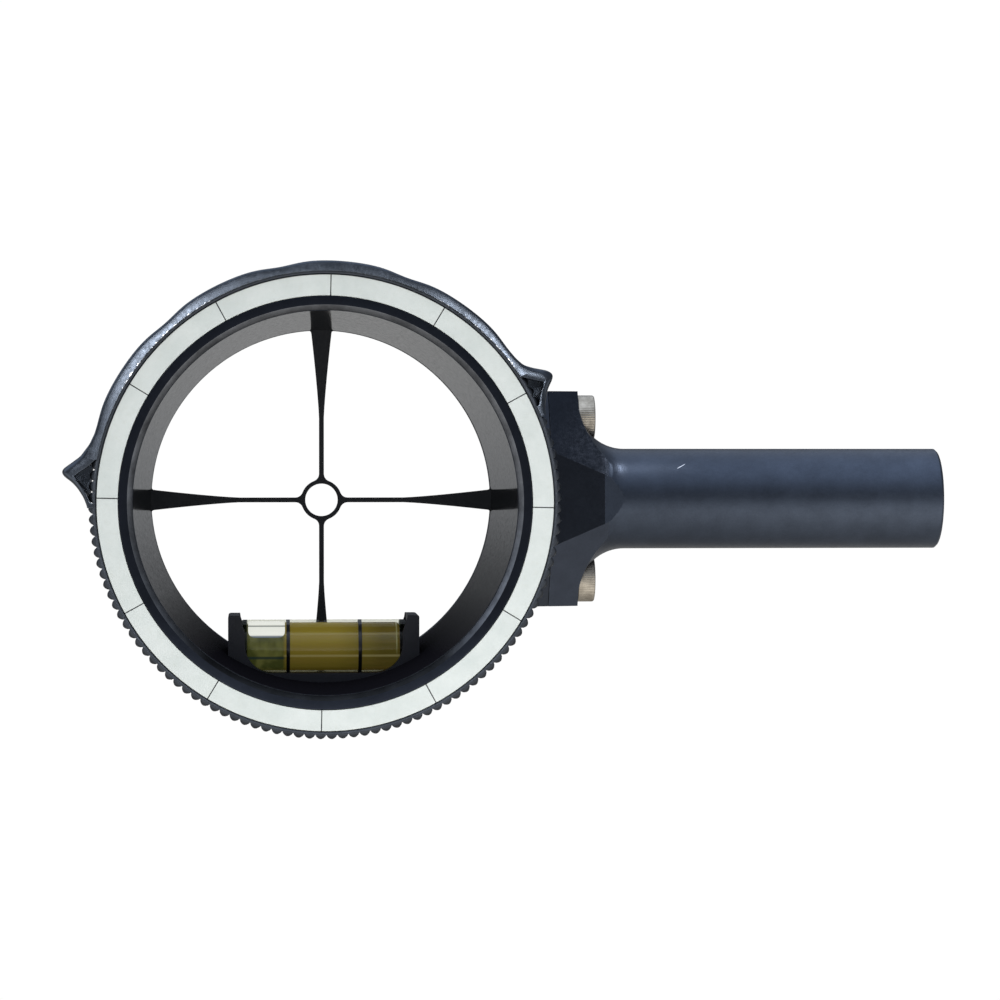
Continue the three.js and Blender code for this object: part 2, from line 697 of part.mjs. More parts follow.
function scaleRing() {
  const ring = turned([
    [SCALE_INNER_R, SCALE_FRONT_Y],
    [SCALE_OUTER_R, SCALE_FRONT_Y],
    [SCALE_OUTER_R, SCALE_REAR_Y - SEAT_GAP],
    [SCALE_INNER_R, SCALE_REAR_Y - SEAT_GAP],
  ]);
  const marks = Array.from({ length: MARK_COUNT }, (_, i) => block(
    [SCALE_INNER_R - 1, SCALE_FRONT_Y - 1, -MARK_WIDTH / 2],
    [SCALE_OUTER_R + 1, SCALE_FRONT_Y + MARK_DEPTH, MARK_WIDTH / 2],
  ).rotateY(MARK_TURN + (i / MARK_COUNT) * Math.PI * 2));
  return cut(ring, ...marks);
}

// Outer radius of the grip cover at an angle above +X
function coverRadius(angle) {
  let radius = COVER_R + COVER_LEAN * Math.cos(angle - COVER_LEAN_ANGLE);
  for (let i = 0; i < SCALLOP_COUNT; i += 1) {
    const away = (angle - SCALLOP_FIRST - i * SCALLOP_STEP) / SCALLOP_HALF;
    radius -= SCALLOP_DEPTH * Math.exp(-(away ** 2));
  }
  for (const [tip, inward] of [[WING_RIGHT, 1], [WING_LEFT, -1]]) {
    const signed = (angle - tip) * inward;
    const away = Math.hypot(signed, WING_BLUNT) - WING_BLUNT * 0.4;
    const reach = signed >= 0 ? WING_REACH : TAIL_REACH;
    const base = signed >= 0 ? radius : TAIL_R;
    if (signed < 0 || away < reach) {
      radius = base + (WING_TIP_R - base) * Math.max(0, 1 - away / reach) ** WING_POWER;
    }
  }
  return radius;
}

const COVER_FROM = WING_RIGHT - TAIL_END;
const COVER_TO = WING_LEFT + TAIL_END;

function gripCover() {
  const nearWing = (angle) => Math.min(Math.abs(angle - WING_RIGHT), Math.abs(angle - WING_LEFT));
  const angles = [COVER_FROM];
  while (angles.at(-1) < COVER_TO - 1.5 * DEG) {
    angles.push(angles.at(-1) + (nearWing(angles.at(-1)) < 8 * DEG ? 0.8 : 2.2) * DEG);
  }
  angles.push(COVER_TO);
  const section = (y, inset) => ({
    y,
    outline: [
      ...angles.map((angle) => polar(coverRadius(angle) - inset, angle)),
      ...arc(COVER_LIP_R, COVER_TO, COVER_FROM, 40),
    ],
  });
  const shell = lofted([
    section(COVER_FRONT_Y, COVER_ROUNDING),
    section(COVER_FRONT_Y + COVER_ROUNDING * 0.4, COVER_ROUNDING * 0.2),
    section(COVER_FRONT_Y + COVER_ROUNDING, 0),
    section(KNURL_REAR_Y - COVER_ROUNDING, 0),
    section(KNURL_REAR_Y, COVER_ROUNDING),
  ]);
  const cavity = turned([
    [0, COVER_LIP_REAR_Y],
    [KNURL_TIP_R + GAP, COVER_LIP_REAR_Y],
    [KNURL_TIP_R + GAP, KNURL_REAR_Y + 1],
    [0, KNURL_REAR_Y + 1],
  ]);
  const pockets = POCKETS.map(({ wing, inward, reach, peakR, peak, tail }) => {
    const corners = [
      polar(peakR, wing + inward * peak),
      ...arc(POCKET_INNER_R, wing + inward * reach, wing + inward * tail, 6),
    ];
    const outline = inward > 0 ? corners : corners.reverse();
    return lofted([
      { y: COVER_FRONT_Y - 1, outline },
      { y: COVER_FRONT_Y + POCKET_DEPTH, outline },
    ]);
  });
  const holes = Object.values(COVER_SCREW_ANGLES).map((angle) => coverScrewSpace(angle));
  return cut(shell, cavity, ...pockets, ...holes);
}

// ---- assembly ----

function piece(name, geometry, material) {
  const mesh = new THREE.Mesh(geometry, material());
  mesh.name = name;
  return mesh;
}

const fixed = new THREE.Group();
fixed.name = 'housing_group';
fixed.add(
  piece('housing_tube', housingTube(), anodised),
  piece('front_bezel', frontBezel(), anodisedDark),
  piece('friction_o_ring', frictionRing(), blackRubber),
  piece('thrust_washer', thrustWasher(), glidePlastic),
  piece('reticle', reticle(), anodisedDark),
  piece('reticle_retaining_ring', reticleRetainer(), anodised),
  piece('stem', stem(), anodised),
);
for (const [side, z] of Object.entries(flangeScrewPlaces())) {
  fixed.add(piece(`flange_screw_${side}`, flangeScrew(z), satinSteel));
}

const level = new THREE.Group();
level.name = 'level_group';
level.add(
  piece('vial_holder', vialHolder(), blackPlastic),
  piece('vial_tube', vialTube(), clearPlastic),
  piece('vial_plug', vialPlug(), clearPlastic),
  piece('vial_liquid', vialLiquid(), levelLiquid),
  piece('vial_bubble', bubble(), airWhite),
  piece('holder_screw_left', holderScrew(-HOLDER_SCREW_X), satinSteel),
  piece('holder_screw_right', holderScrew(HOLDER_SCREW_X), satinSteel),
);
for (const [side, x] of Object.entries(LINE_X)) {
  level.add(piece(`vial_line_${side}`, vialLine(x), lineInk));
}

const turning = new THREE.Group();
turning.name = 'turning_group';
turning.add(
  piece('knurled_ring', knurledRing(), anodised),
  piece('scale_ring', scaleRing(), paleEnamel),
  piece('grip_cover', gripCover(), anodised),
);
for (const [side, angle] of Object.entries(COVER_SCREW_ANGLES)) {
  turning.add(piece(`cover_screw_${side}`, coverScrew(angle), satinSteel));
}

const sightingRing = new THREE.Group();
sightingRing.name = 'sighting_ring';
sightingRing.add(fixed, level, turning);
sightingRing.position.set(-STEM_END_X, 0, -STEM_RISE);

export default sightingRing;
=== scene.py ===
"""Looks of the sighting ring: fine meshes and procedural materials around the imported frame.

Shapes are drawn in millimetres about the ring axis (x right, y away from the viewer, z up) and
moved into the frame, in metres, when a piece is finished.
"""
import math

import bmesh
import bpy
import numpy as np
from mathutils import Matrix, Vector

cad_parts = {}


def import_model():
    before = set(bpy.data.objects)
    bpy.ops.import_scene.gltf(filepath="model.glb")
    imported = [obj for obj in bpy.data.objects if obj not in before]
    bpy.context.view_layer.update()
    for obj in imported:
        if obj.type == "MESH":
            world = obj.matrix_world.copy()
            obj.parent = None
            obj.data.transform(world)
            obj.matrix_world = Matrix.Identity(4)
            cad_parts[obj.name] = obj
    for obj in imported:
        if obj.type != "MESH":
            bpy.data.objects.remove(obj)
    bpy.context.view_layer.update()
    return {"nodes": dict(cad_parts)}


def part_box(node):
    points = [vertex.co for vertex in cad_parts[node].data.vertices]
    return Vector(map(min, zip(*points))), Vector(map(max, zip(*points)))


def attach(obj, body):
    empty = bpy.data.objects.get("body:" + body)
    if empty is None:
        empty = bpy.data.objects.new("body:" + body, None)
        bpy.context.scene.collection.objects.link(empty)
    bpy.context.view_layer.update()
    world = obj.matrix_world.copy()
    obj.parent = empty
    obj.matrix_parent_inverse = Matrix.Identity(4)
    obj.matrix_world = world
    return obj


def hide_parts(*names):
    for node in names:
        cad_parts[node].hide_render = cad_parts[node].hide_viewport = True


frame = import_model()

MM = 0.001
ring_low, ring_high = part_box("scale_ring")
AXIS = Vector(((ring_low.x + ring_high.x) / 2, 0.0, (ring_low.z + ring_high.z) / 2))
stem_low, stem_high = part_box("stem")
STEM_RISE = (stem_low.z + stem_high.z) / 2 / MM - AXIS.z / MM
STEM_END_X = (stem_high.x - AXIS.x) / MM


def span(node, axis):
    """Lowest and highest place of a CAD node along one axis, in millimetres about the ring axis."""
    return [(corner[axis] - AXIS[axis]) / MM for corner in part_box(node)]


# ---- sizes, millimetres
ROUND = 256
GAP = 0.06
BORE_FRONT_R, BORE_REAR_R = 22.22, 20.92
TUBE_FRONT_Y, TUBE_REAR_Y = -15.2, 14.5
THREAD_R, JOURNAL_R, JOURNAL_FRONT_Y = 23.32, 24.36, -11.45
COLLAR_R, COLLAR_FRONT_Y, COLLAR_REAR_Y = 26.35, -6.0, 7.5
REAR_RIM_R, REAR_SEAT_R = 24.4, 22.7
GROOVE_R, GROOVE_Y, GROOVE_WIDTH = 23.61, -9.0, 1.3
BEZEL_FRONT_Y, BEZEL_REAR_Y, BEZEL_FLANGE_Y = -16.0, -11.6, -13.8
BEZEL_LIP_R, BEZEL_BORE_R, BEZEL_CHAMFER, BEZEL_FLANGE_R = 23.86, 22.29, 0.56, 25.15
SCALE_INNER_R, SCALE_OUTER_R = 23.92, 26.34
SCALE_FRONT_Y, SCALE_REAR_Y = -15.9, -14.17
MARK_COUNT, MARK_WIDTH, MARK_DEPTH, MARK_TURN = 12, 0.13, 0.1, math.radians(1.25)
KNURL_TIP_R, KNURL_ROOT_R, KNURL_TEETH = 27.32, 26.8, 132
KNURL_FRONT_Y, KNURL_REAR_Y, WEB_FRONT_Y = -15.7, -6.5, -11.5
COVER_FRONT_Y, COVER_LIP_R, COVER_R = -16.3, 26.72, 27.88
RETICLE_FRONT_Y, RETICLE_REAR_Y, RETICLE_RIM_R = 12.0, 13.08, 22.6
EYE_OUTER_R, EYE_INNER_R = 2.5, 2.0
VANE_ROOT, VANE_THIN, VANE_KNEE_R = 2.45, 0.58, 10.1
VIAL_Y, VIAL_Z, VIAL_R, VIAL_BORE_R = 2.0, -17.5, 3.23, 2.45
VIAL_HALF, VIAL_CHAMBER = 10.0, 9.2
VIAL_PLACE = ((VIAL_Y, VIAL_Z),)
LIQUID_R, LIQUID_START_X, LIQUID_END_X = VIAL_R - 0.34, -9.18, 9.15
LINE_X, LINE_WIDTH = (-4.24, 4.37), 0.43
HOLDER_HALF_X, HOLDER_FRONT_Y, HOLDER_REAR_Y = 11.4, -2.0, 6.0
HOLDER_TOP_Z, HOLDER_BASE_R = -13.6, 23.6
HOLDER_SCREW_X, HOLDER_SCREW_R, HOLDER_SCREW_HEAD_R = 3.2, 1.0, 1.8
COVER_SCREW_Y, COVER_SCREW_R, COVER_SCREW_HEAD_R = -10.0, 0.8, 1.3
COVER_SCREW_ANGLES = {"left": math.radians(147), "right": math.radians(55)}
STEM_R, FLANGE_FRONT_X, FLANGE_REAR_X = 6.0, 26.95, 30.55
FLANGE_HALF_Z, FLANGE_BACK_Y, FLANGE_CORNER, FLANGE_EDGE = 12.92, 7.0, 2.0, 0.35
FLARE, FLAT_Y, FLAT_END_X, FLAT_END_HALF, FLAT_SPREAD = 5.6, -5.8, 34.3, 2.5, 0.435
FACET_SLOPE, FLAT_RAMP_X = 0.7, 33.3
SCREW_Y, SCREW_Z, SCREW_R, SCREW_HEAD_R, SCREW_HEAD = 1.2, 9.7, 1.5, 2.75, 2.05
SPOT_R = 2.95
SLOPE_LENGTH = math.hypot(1, FLAT_SPREAD)
FLANGE_NORMALS = [Vector((0, -1, 0))] + [Vector((
    FACET_SLOPE * FLAT_SPREAD / SLOPE_LENGTH, -1, side * FACET_SLOPE / SLOPE_LENGTH,
)).normalized() for side in (1, -1)]


# ---- mesh tools
def solid(points, faces, weld=1e-5):
    """A closed mesh from points and faces, welded, with its normals outwards."""
    build = bmesh.new()
    places = [build.verts.new(p) for p in points]
    for face in faces:
        build.faces.new([places[i] for i in face])
    bmesh.ops.remove_doubles(build, verts=build.verts, dist=weld)
    bmesh.ops.dissolve_degenerate(build, edges=build.edges, dist=weld)
    bmesh.ops.recalc_face_normals(build, faces=build.faces)
    mesh = bpy.data.meshes.new("solid")
    build.to_mesh(mesh)
    build.free()
    return mesh


def rounded(points, radius, steps=3):
    """A closed outline with each corner turned into a short curve of about the given radius."""
    count = len(points)
    radii = radius if isinstance(radius, (list, tuple)) else [radius] * count
    result = []
    for i in range(count):
        corner = Vector(points[i])
        if radii[i] <= 0:
            result.append(tuple(corner))
            continue
        before = Vector(points[i - 1]) - corner
        after = Vector(points[(i + 1) % count]) - corner
        reach = radii[i] / max(math.tan(before.angle(after) / 2), 0.05)
        start = corner + before.normalized() * min(reach, before.length * 0.45)
        end = corner + after.normalized() * min(reach, after.length * 0.45)
        for step in range(steps + 1):
            t = step / steps
            place = start * (1 - t) ** 2 + corner * (2 * t * (1 - t)) + end * t ** 2
            result.append(tuple(place))
    return result


def around(count):
    """Even angles around a circle."""
    return [2 * math.pi * i / count for i in range(count)]


def arc(radius, start, sweep, steps, ends=True, centre=(0.0, 0.0)):
    """Points on a circle; without ends the first and the last are left out."""
    chosen = range(steps + 1) if ends else range(1, steps)
    angles = [start + sweep * i / steps for i in chosen]
    return [(centre[0] + radius * math.cos(a), centre[1] + radius * math.sin(a)) for a in angles]


def turned(profile, angles=None, closed=True):
    """A profile of (radius, y) turned about Y; the profile may be a function of the angle."""
    if angles is None:
        angles = around(ROUND)
    shape = profile if callable(profile) else (lambda _: profile)
    sections = [[(r * math.cos(a), y, r * math.sin(a)) for r, y in shape(a)] for a in angles]
    return lofted(sections, ring=closed)


def lofted(sections, ring=False):
    """A mesh through outlines with equal numbers of points; open ends are capped."""
    count, levels = len(sections[0]), len(sections)
    points = [p for section in sections for p in section]
    faces = []
    for level in range(levels if ring else levels - 1):
        here, there = level * count, ((level + 1) % levels) * count
        for i in range(count):
            j = (i + 1) % count
            faces.append((here + i, here + j, there + j, there + i))
    if not ring:
        faces.append(tuple(range(count)))
        faces.append(tuple(range((levels - 1) * count, levels * count)))
    return solid(points, faces)


def slab(outline, low_y, high_y):
    """An outline in (x, z) drawn out along Y."""
    return lofted([[(x, y, z) for x, z in outline] for y in (low_y, high_y)])


def along_x(profile, segments=96, places=((0, 0),)):
    """A profile of (radius, x) from axis to axis turned about lines parallel to X at (y, z)."""
    parts = []
    for y0, z0 in places:
        sections = []
        for a in around(segments):
            sections.append([(x, y0 + r * math.cos(a), z0 + r * math.sin(a)) for r, x in profile])
        faces = []
        count = len(profile)
        for i in range(segments):
            here, there = i * count, ((i + 1) % segments) * count
            for k in range(count - 1):
                faces.append((here + k, here + k + 1, there + k + 1, there + k))
        parts.append(solid([p for s in sections for p in s], faces))
    return merged(parts)


def rod(radius, start, end, segments=48, places=((0, 0),)):
    return along_x([(0, start), (radius, start), (radius, end), (0, end)], segments, places)


def block(low, high):
    """A closed box between two corners, used for cutting."""
    (x0, y0, z0), (x1, y1, z1) = low, high
    return lofted([
        [(x, y0, z0), (x, y1, z0), (x, y1, z1), (x, y0, z1)] for x in (x0, x1)
    ])


def merged(meshes):
    """Several closed meshes as one."""
    build = bmesh.new()
    for mesh in meshes:
        build.from_mesh(mesh)
    result = bpy.data.meshes.new("merged")
    build.to_mesh(result)
    build.free()
    return result


def moved(mesh, matrix):
    mesh = mesh.copy()
    mesh.transform(matrix)
    return mesh


def shift(x, y, z):
    return Matrix.Translation((x, y, z))


def placed(name, data):
    """A new object in the scene."""
    obj = bpy.data.objects.new(name, data)
    bpy.context.scene.collection.objects.link(obj)
    return obj


def turn_y(angle):
    """Rotation about the ring axis, anticlockwise as seen from the front."""
    return Matrix.Rotation(-angle, 4, "Y")


def modified(mesh, *settings):
    """The mesh after a list of (modifier type, values)."""
    holder = placed("work", mesh)
    helpers = []
    for kind, values in settings:
        modifier = holder.modifiers.new(kind.lower(), kind)
        for key, value in values.items():
            if isinstance(value, bpy.types.Mesh):
                value = placed("tool", value)
                helpers.append(value)
            setattr(modifier, key, value)
    bpy.context.view_layer.update()
    graph = bpy.context.evaluated_depsgraph_get()
    result = bpy.data.meshes.new_from_object(holder.evaluated_get(graph))
    for extra in [holder, *helpers]:
        bpy.data.objects.remove(extra)
    return result


def cut(mesh, *tools):
    return modified(mesh, *[
        ("BOOLEAN", {"operation": "DIFFERENCE", "solver": "EXACT", "object": tool}) for tool in tools
    ])


def joined(mesh, *tools):
    return modified(mesh, *[
        ("BOOLEAN", {"operation": "UNION", "solver": "EXACT", "object": tool}) for tool in tools
    ])


def softened(mesh, width, segments=2, angle=30):
    return modified(mesh, ("BEVEL", {
        "width": width, "segments": segments, "limit_method": "ANGLE",
        "angle_limit": math.radians(angle), "use_clamp_overlap": True, "miter_outer": "MITER_ARC",
    }))


def piece(name, mesh, key, nodes, body="housing", sharp=32, other=None, crisp=False):
    """Finishes a piece: into the frame, smooth but for sharp edges, and riding on its body.

    Key names its material. Other is the key of a second one and a test of a face's centre and
    normal that says where it goes; crisp keeps the faces of that material flat.
    """
    chosen = []
    if other:
        chosen = [face.index for face in mesh.polygons if other[1](face.center, face.normal)]
    mesh.transform(Matrix.Translation(AXIS) @ Matrix.Scale(MM, 4))
    mesh.shade_smooth()
    mesh.set_sharp_from_angle(angle=math.radians(sharp))
    material = MATERIALS[key]
    mesh.materials.clear()
    mesh.materials.append(material)
    if other:
        mesh.materials.append(MATERIALS[other[0]])
    for face in mesh.polygons:
        face.material_index = 0
    for index in chosen:
        mesh.polygons[index].material_index = 1
        mesh.polygons[index].use_smooth = not crisp
    mesh.name = name
    obj = placed(name, mesh)
    weighted = obj.modifiers.new("weighted", "WEIGHTED_NORMAL")
    weighted.keep_sharp = True
    weighted.weight = 60
    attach(obj, body)
    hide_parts(*nodes)


# ---- material tools
class Nodes:
    """Small helper that adds nodes to a material or world and joins them."""

    def __init__(self, owner):
        owner.use_nodes = True
        self.tree = owner.node_tree
        self.tree.nodes.clear()

    def node(self, kind, inputs=None, **values):
        node = self.tree.nodes.new(kind)
        for key, value in values.items():
            setattr(node, key, value)
        for key, value in (inputs or {}).items():
            socket = node.inputs[key]
            if isinstance(value, bpy.types.NodeSocket):
                self.tree.links.new(value, socket)
            else:
                socket.default_value = value
        return node

    def vector(self, operation, a, b=(0, 0, 0)):
        return self.node("ShaderNodeVectorMath", {0: a, 1: b}, operation=operation).outputs[0]

    def math(self, operation, a, b=0.0):
        return self.node("ShaderNodeMath", {0: a, 1: b}, operation=operation).outputs[0]

    def times(self, a, b):
        return self.math("MULTIPLY", a, b)

    def off(self, value, centre):
        """How far a value lies from a centre."""
        return self.math("ABSOLUTE", self.math("SUBTRACT", value, centre))

    def ramp(self, value, low, high, to_low=0.0, to_high=1.0):
        return self.node("ShaderNodeMapRange", {
            "Value": value, "From Min": low, "From Max": high, "To Min": to_low, "To Max": to_high,
        }, clamp=True).outputs[0]

    def mix(self, factor, a, b):
        a, b = ((*value, 1) if isinstance(value, tuple) else value for value in (a, b))
        return self.node("ShaderNodeMix", {0: factor, 6: a, 7: b}, data_type="RGBA").outputs[2]


class Shader(Nodes):
    """A material whose place is in millimetres about the ring axis."""

    def __init__(self, name):
        self.material = bpy.data.materials.new(name)
        super().__init__(self.material)
        coordinates = self.node("ShaderNodeTexCoord").outputs["Object"]
        shifted = self.vector("SUBTRACT", coordinates, tuple(AXIS))
        self.place = self.vector("MULTIPLY", shifted, (1 / MM,) * 3)

    def axis(self, letter):
        return self.node("ShaderNodeSeparateXYZ", {0: self.place}).outputs[letter]

    def noise(self, scale, detail=3.0, rough=0.5, place=None):
        """Noise from 0 to 1, with its scale in waves per millimetre."""
        return self.node("ShaderNodeTexNoise", {
            "Vector": place or self.place, "Scale": scale, "Detail": detail, "Roughness": rough,
        }).outputs[0]

    def edges(self, radius):
        """About 1 on convex and concave edges, 0 on open faces."""
        soft = self.node("ShaderNodeBevel", {"Radius": radius * MM}, samples=4).outputs[0]
        flat = self.node("ShaderNodeNewGeometry").outputs["Normal"]
        same = self.node(
            "ShaderNodeVectorMath", {0: soft, 1: flat}, operation="DOT_PRODUCT",
        ).outputs["Value"]
        return self.ramp(same, 0.995, 0.85)

    def specks(self, scale, size, share):
        """Small round spots: a share of the cells of a pattern hold one."""
        cells = self.node("ShaderNodeTexVoronoi", {
            "Vector": self.place, "Scale": scale, "Randomness": 1.0,
        })
        near = self.ramp(cells.outputs["Distance"], size, size * 0.6)
        pick = self.node("ShaderNodeSeparateColor", {0: cells.outputs["Color"]}).outputs[0]
        return self.times(near, self.math("LESS_THAN", pick, share))

    def bump(self, height, distance, strength=1.0, normal=None):
        inputs = {"Height": height, "Distance": distance * MM, "Strength": strength}
        if normal is not None:
            inputs["Normal"] = normal
        return self.node("ShaderNodeBump", inputs).outputs[0]

    def out(self, surface):
        self.node("ShaderNodeOutputMaterial", {"Surface": surface})
        return self.material

    def principled(self, **inputs):
        named = {key.replace("_", " "): value for key, value in inputs.items()}
        for key, value in named.items():
            if isinstance(value, tuple) and len(value) == 3:
                named[key] = (*value, 1)
        return self.node("ShaderNodeBsdfPrincipled", named).outputs[0]


def anodised(name, colour, roughness=0.36, grain=0.5, mottle=0.12, wear=0.25, dust=0.0,
             marks=(), turning=0.0, brushed=0.0, metal=0.9, painted_light_gradient=None, painted_lip_glints=(), painted_shade_below=None,
             painted_shade_by_facing=None):
    """Bead-blasted, dyed aluminium: metal grain, cloudy dye, thin light edges, dust and nicks.

    Brushed says how far the reflections stretch along the ring axis; marks lists light nicks as
    (place, rotation, size) and turning is the strength of the tool lines.
    The painted_light_gradient is (axis, from, to, factor from, factor to): painted light and shade
    in the dye along one axis; painted_lip_glints lists the stretches, in degrees, where the inner
    lip of the cover gets painted bright glints; painted_shade_below is (from, to) in height for
    painted shade that takes the shine away below; painted_shade_by_facing is (facing down, level,
    facing up): painted shade in the dye by where a face looks.
    """
    s = Shader(name)
    cloud = s.noise(0.35, 4.0, 0.6)
    fine = s.noise(5.0, 3.0, 0.7)
    shade = s.ramp(cloud, 0.3, 0.7, 1 - mottle, 1 + mottle)
    shade = s.times(shade, s.ramp(fine, 0.3, 0.7, 0.93, 1.07))
    # Painted light and shade: the dye is made lighter or darker along one axis.
    if painted_light_gradient:
        shade = s.times(shade, s.ramp(s.axis(painted_light_gradient[0]), *painted_light_gradient[1:]))
    # Painted shade by where a face looks: the dye is lighter on faces looking down and darker on
    # level and upward faces.
    if painted_shade_by_facing:
        facing = s.node("ShaderNodeNewGeometry").outputs["Normal"]
        up = s.node("ShaderNodeSeparateXYZ", {0: facing}).outputs["Z"]
        shade = s.times(shade, s.ramp(up, -0.3, -0.1, painted_shade_by_facing[0], painted_shade_by_facing[1]))
        shade = s.times(shade, s.ramp(up, 0.1, 0.3, 1.0, painted_shade_by_facing[2] / painted_shade_by_facing[1]))
    colour_node = s.vector("MULTIPLY", colour, s.node(
        "ShaderNodeCombineXYZ", {0: shade, 1: shade, 2: shade}).outputs[0])
    worn = s.times(s.edges(0.1), s.ramp(s.noise(1.3, 4.0, 0.7), 0.42, 0.62))
    worn = s.times(worn, wear)
    bare = tuple(min(1.0, 0.25 + c * 1.5) for c in colour)
    tint = s.mix(worn, (0, 0, 0), bare)
    colour_node = s.vector("ADD", colour_node, tint)
    if dust:
        spots = s.times(s.specks(0.9, 0.06, dust), 0.5)
        colour_node = s.vector("ADD", colour_node, s.mix(spots, (0, 0, 0), (0.6, 0.6, 0.62)))
    for place, angle, size in marks:
        local = s.node("ShaderNodeMapping", {
            "Vector": s.place, "Location": place, "Rotation": angle, "Scale": size,
        }, vector_type="TEXTURE").outputs[0]
        reach = s.node("ShaderNodeVectorMath", {0: local}, operation="LENGTH").outputs["Value"]
        scratch = s.ramp(s.math("ADD", reach, s.times(fine, 0.5)), 1.3, 1.0)
        colour_node = s.vector("ADD", colour_node, s.mix(scratch, (0, 0, 0), (0.75, 0.76, 0.8)))
    # Painted highlight: bright specks on the cover's inner lip in the stretches where its edge
    # catches the light.
    for low, high in painted_lip_glints:
        angle = s.times(s.math("ARCTAN2", s.axis("Z"), s.axis("X")), 180 / math.pi)
        away = s.off(angle, (low + high) / 2)
        along = s.ramp(away, (high - low) / 2, (high - low) / 2 - 4)
        flat = s.vector("MULTIPLY", s.place, (1, 0, 1))
        reach = s.node("ShaderNodeVectorMath", {0: flat}, operation="LENGTH").outputs["Value"]
        uneven = s.math("ADD", reach, s.times(s.noise(1.8, 3.0, 0.7), -1.3))
        edge_wear_and_glint = s.times(s.ramp(uneven, COVER_LIP_R - 0.62, COVER_LIP_R - 0.70), along)
        front = s.ramp(s.axis("Y"), COVER_FRONT_Y + 0.3, COVER_FRONT_Y + 0.2)
        edge_wear_and_glint = s.times(edge_wear_and_glint, front)
        colour_node = s.mix(edge_wear_and_glint, colour_node, (0.62, 0.65, 0.70))
    rough = s.ramp(s.noise(2.2, 4.0, 0.6), 0.3, 0.7, roughness - 0.05, roughness + 0.07)
    height = s.math("ADD", s.noise(9.0, 2.0, 0.6), s.times(s.noise(2.0, 2.0), 1.2))
    normal = s.bump(height, 0.008, grain)
    if turning:
        y = s.axis("Y")
        x, z = s.axis("X"), s.axis("Z")
        radius = s.math("SQRT", s.math("ADD", s.times(x, x), s.times(z, z)))
        lines = s.node("ShaderNodeCombineXYZ", {0: radius, 1: y, 2: 0.0}).outputs[0]
        normal = s.bump(s.noise(14.0, 1.0, 0.5, lines), 0.006, turning, normal)
    extra = {}
    if brushed:
        tangent = s.node("ShaderNodeVectorTransform", {"Vector": (0, 1, 0)}, vector_type="VECTOR",
                         convert_from="OBJECT", convert_to="WORLD").outputs[0]
        extra = {"Anisotropic": brushed, "Tangent": s.vector("NORMALIZE", tangent)}
    surface = s.principled(
        Base_Color=colour_node, Metallic=metal, Roughness=rough, Normal=normal, IOR=1.5, **extra,
    )
    # Painted shade: a dark, dull surface is mixed in below a height and takes the shine away.
    if painted_shade_below:
        painted_shade_surface = s.node("ShaderNodeBsdfDiffuse", {"Color": (0.015, 0.014, 0.018, 1)}).outputs[0]
        share = s.ramp(s.axis("Z"), *painted_shade_below)
        surface = s.node("ShaderNodeMixShader", {0: share, 1: painted_shade_surface, 2: surface}).outputs[0]
    return s.out(surface)


def enamel(name):
    """Pale printed band: off-white, a little cloudy and handled, dark in the cut marks."""
    s = Shader(name)
    cloud = s.noise(0.3, 5.0, 0.65)
    colour = s.mix(s.ramp(cloud, 0.32, 0.68), (0.68, 0.73, 0.70), (0.78, 0.82, 0.79))
    smudge = s.ramp(s.noise(1.4, 4.0, 0.7), 0.52, 0.75, 0.0, 0.35)
    colour = s.mix(smudge, colour, (0.64, 0.67, 0.61))
    flecks = s.times(s.specks(2.4, 0.07, 0.14), 0.45)
    colour = s.mix(flecks, colour, (0.25, 0.26, 0.25))
    deep = s.ramp(s.axis("Y"), SCALE_FRONT_Y + 0.02, SCALE_FRONT_Y + 0.06)
    angle = s.math("ARCTAN2", s.axis("Z"), s.axis("X"))
    step = 2 * math.pi / MARK_COUNT
    turn = s.math("WRAP", s.math("ADD", angle, MARK_TURN + step / 2 + 8 * math.pi))
    turn.node.inputs[1].default_value = step
    turn.node.inputs[2].default_value = 0.0
    away = s.off(turn, step / 2)
    inked = s.times(deep, s.math("LESS_THAN", away, 0.006))
    colour = s.mix(inked, colour, (0.03, 0.03, 0.035))
    normal = s.bump(s.noise(6.0, 3.0, 0.6), 0.006, 0.5)
    rough = s.ramp(s.noise(0.8, 3.0), 0.3, 0.7, 0.42, 0.6)
    return s.out(s.principled(Base_Color=colour, Roughness=rough, Normal=normal, IOR=1.45))


def moulded(name, colour, roughness=0.5, grain=0.5, dust=0.0, coat=0.0):
    """Injection-moulded plastic or rubber with a fine spark texture."""
    s = Shader(name)
    cloud = s.noise(0.6, 4.0, 0.6)
    shades = [tuple(c * factor for c in colour) for factor in (0.8, 1.25)]
    base = s.mix(s.ramp(cloud, 0.3, 0.7), *shades)
    if dust:
        spots = s.specks(0.8, 0.08, dust)
        base = s.mix(spots, base, (0.5, 0.5, 0.5))
    edge_wear_and_glint = s.times(s.edges(0.12), s.ramp(s.noise(1.7, 3.0), 0.4, 0.6, 0.0, 0.3))
    base = s.mix(edge_wear_and_glint, base, tuple(min(1, c * 3 + 0.03) for c in colour))
    rough = s.ramp(s.noise(3.0, 3.0), 0.3, 0.7, roughness - 0.08, roughness + 0.08)
    normal = s.bump(s.noise(7.0, 3.0, 0.65), 0.01, grain)
    return s.out(s.principled(
        Base_Color=base, Roughness=rough, Normal=normal, IOR=1.48, Coat_Weight=coat,
    ))


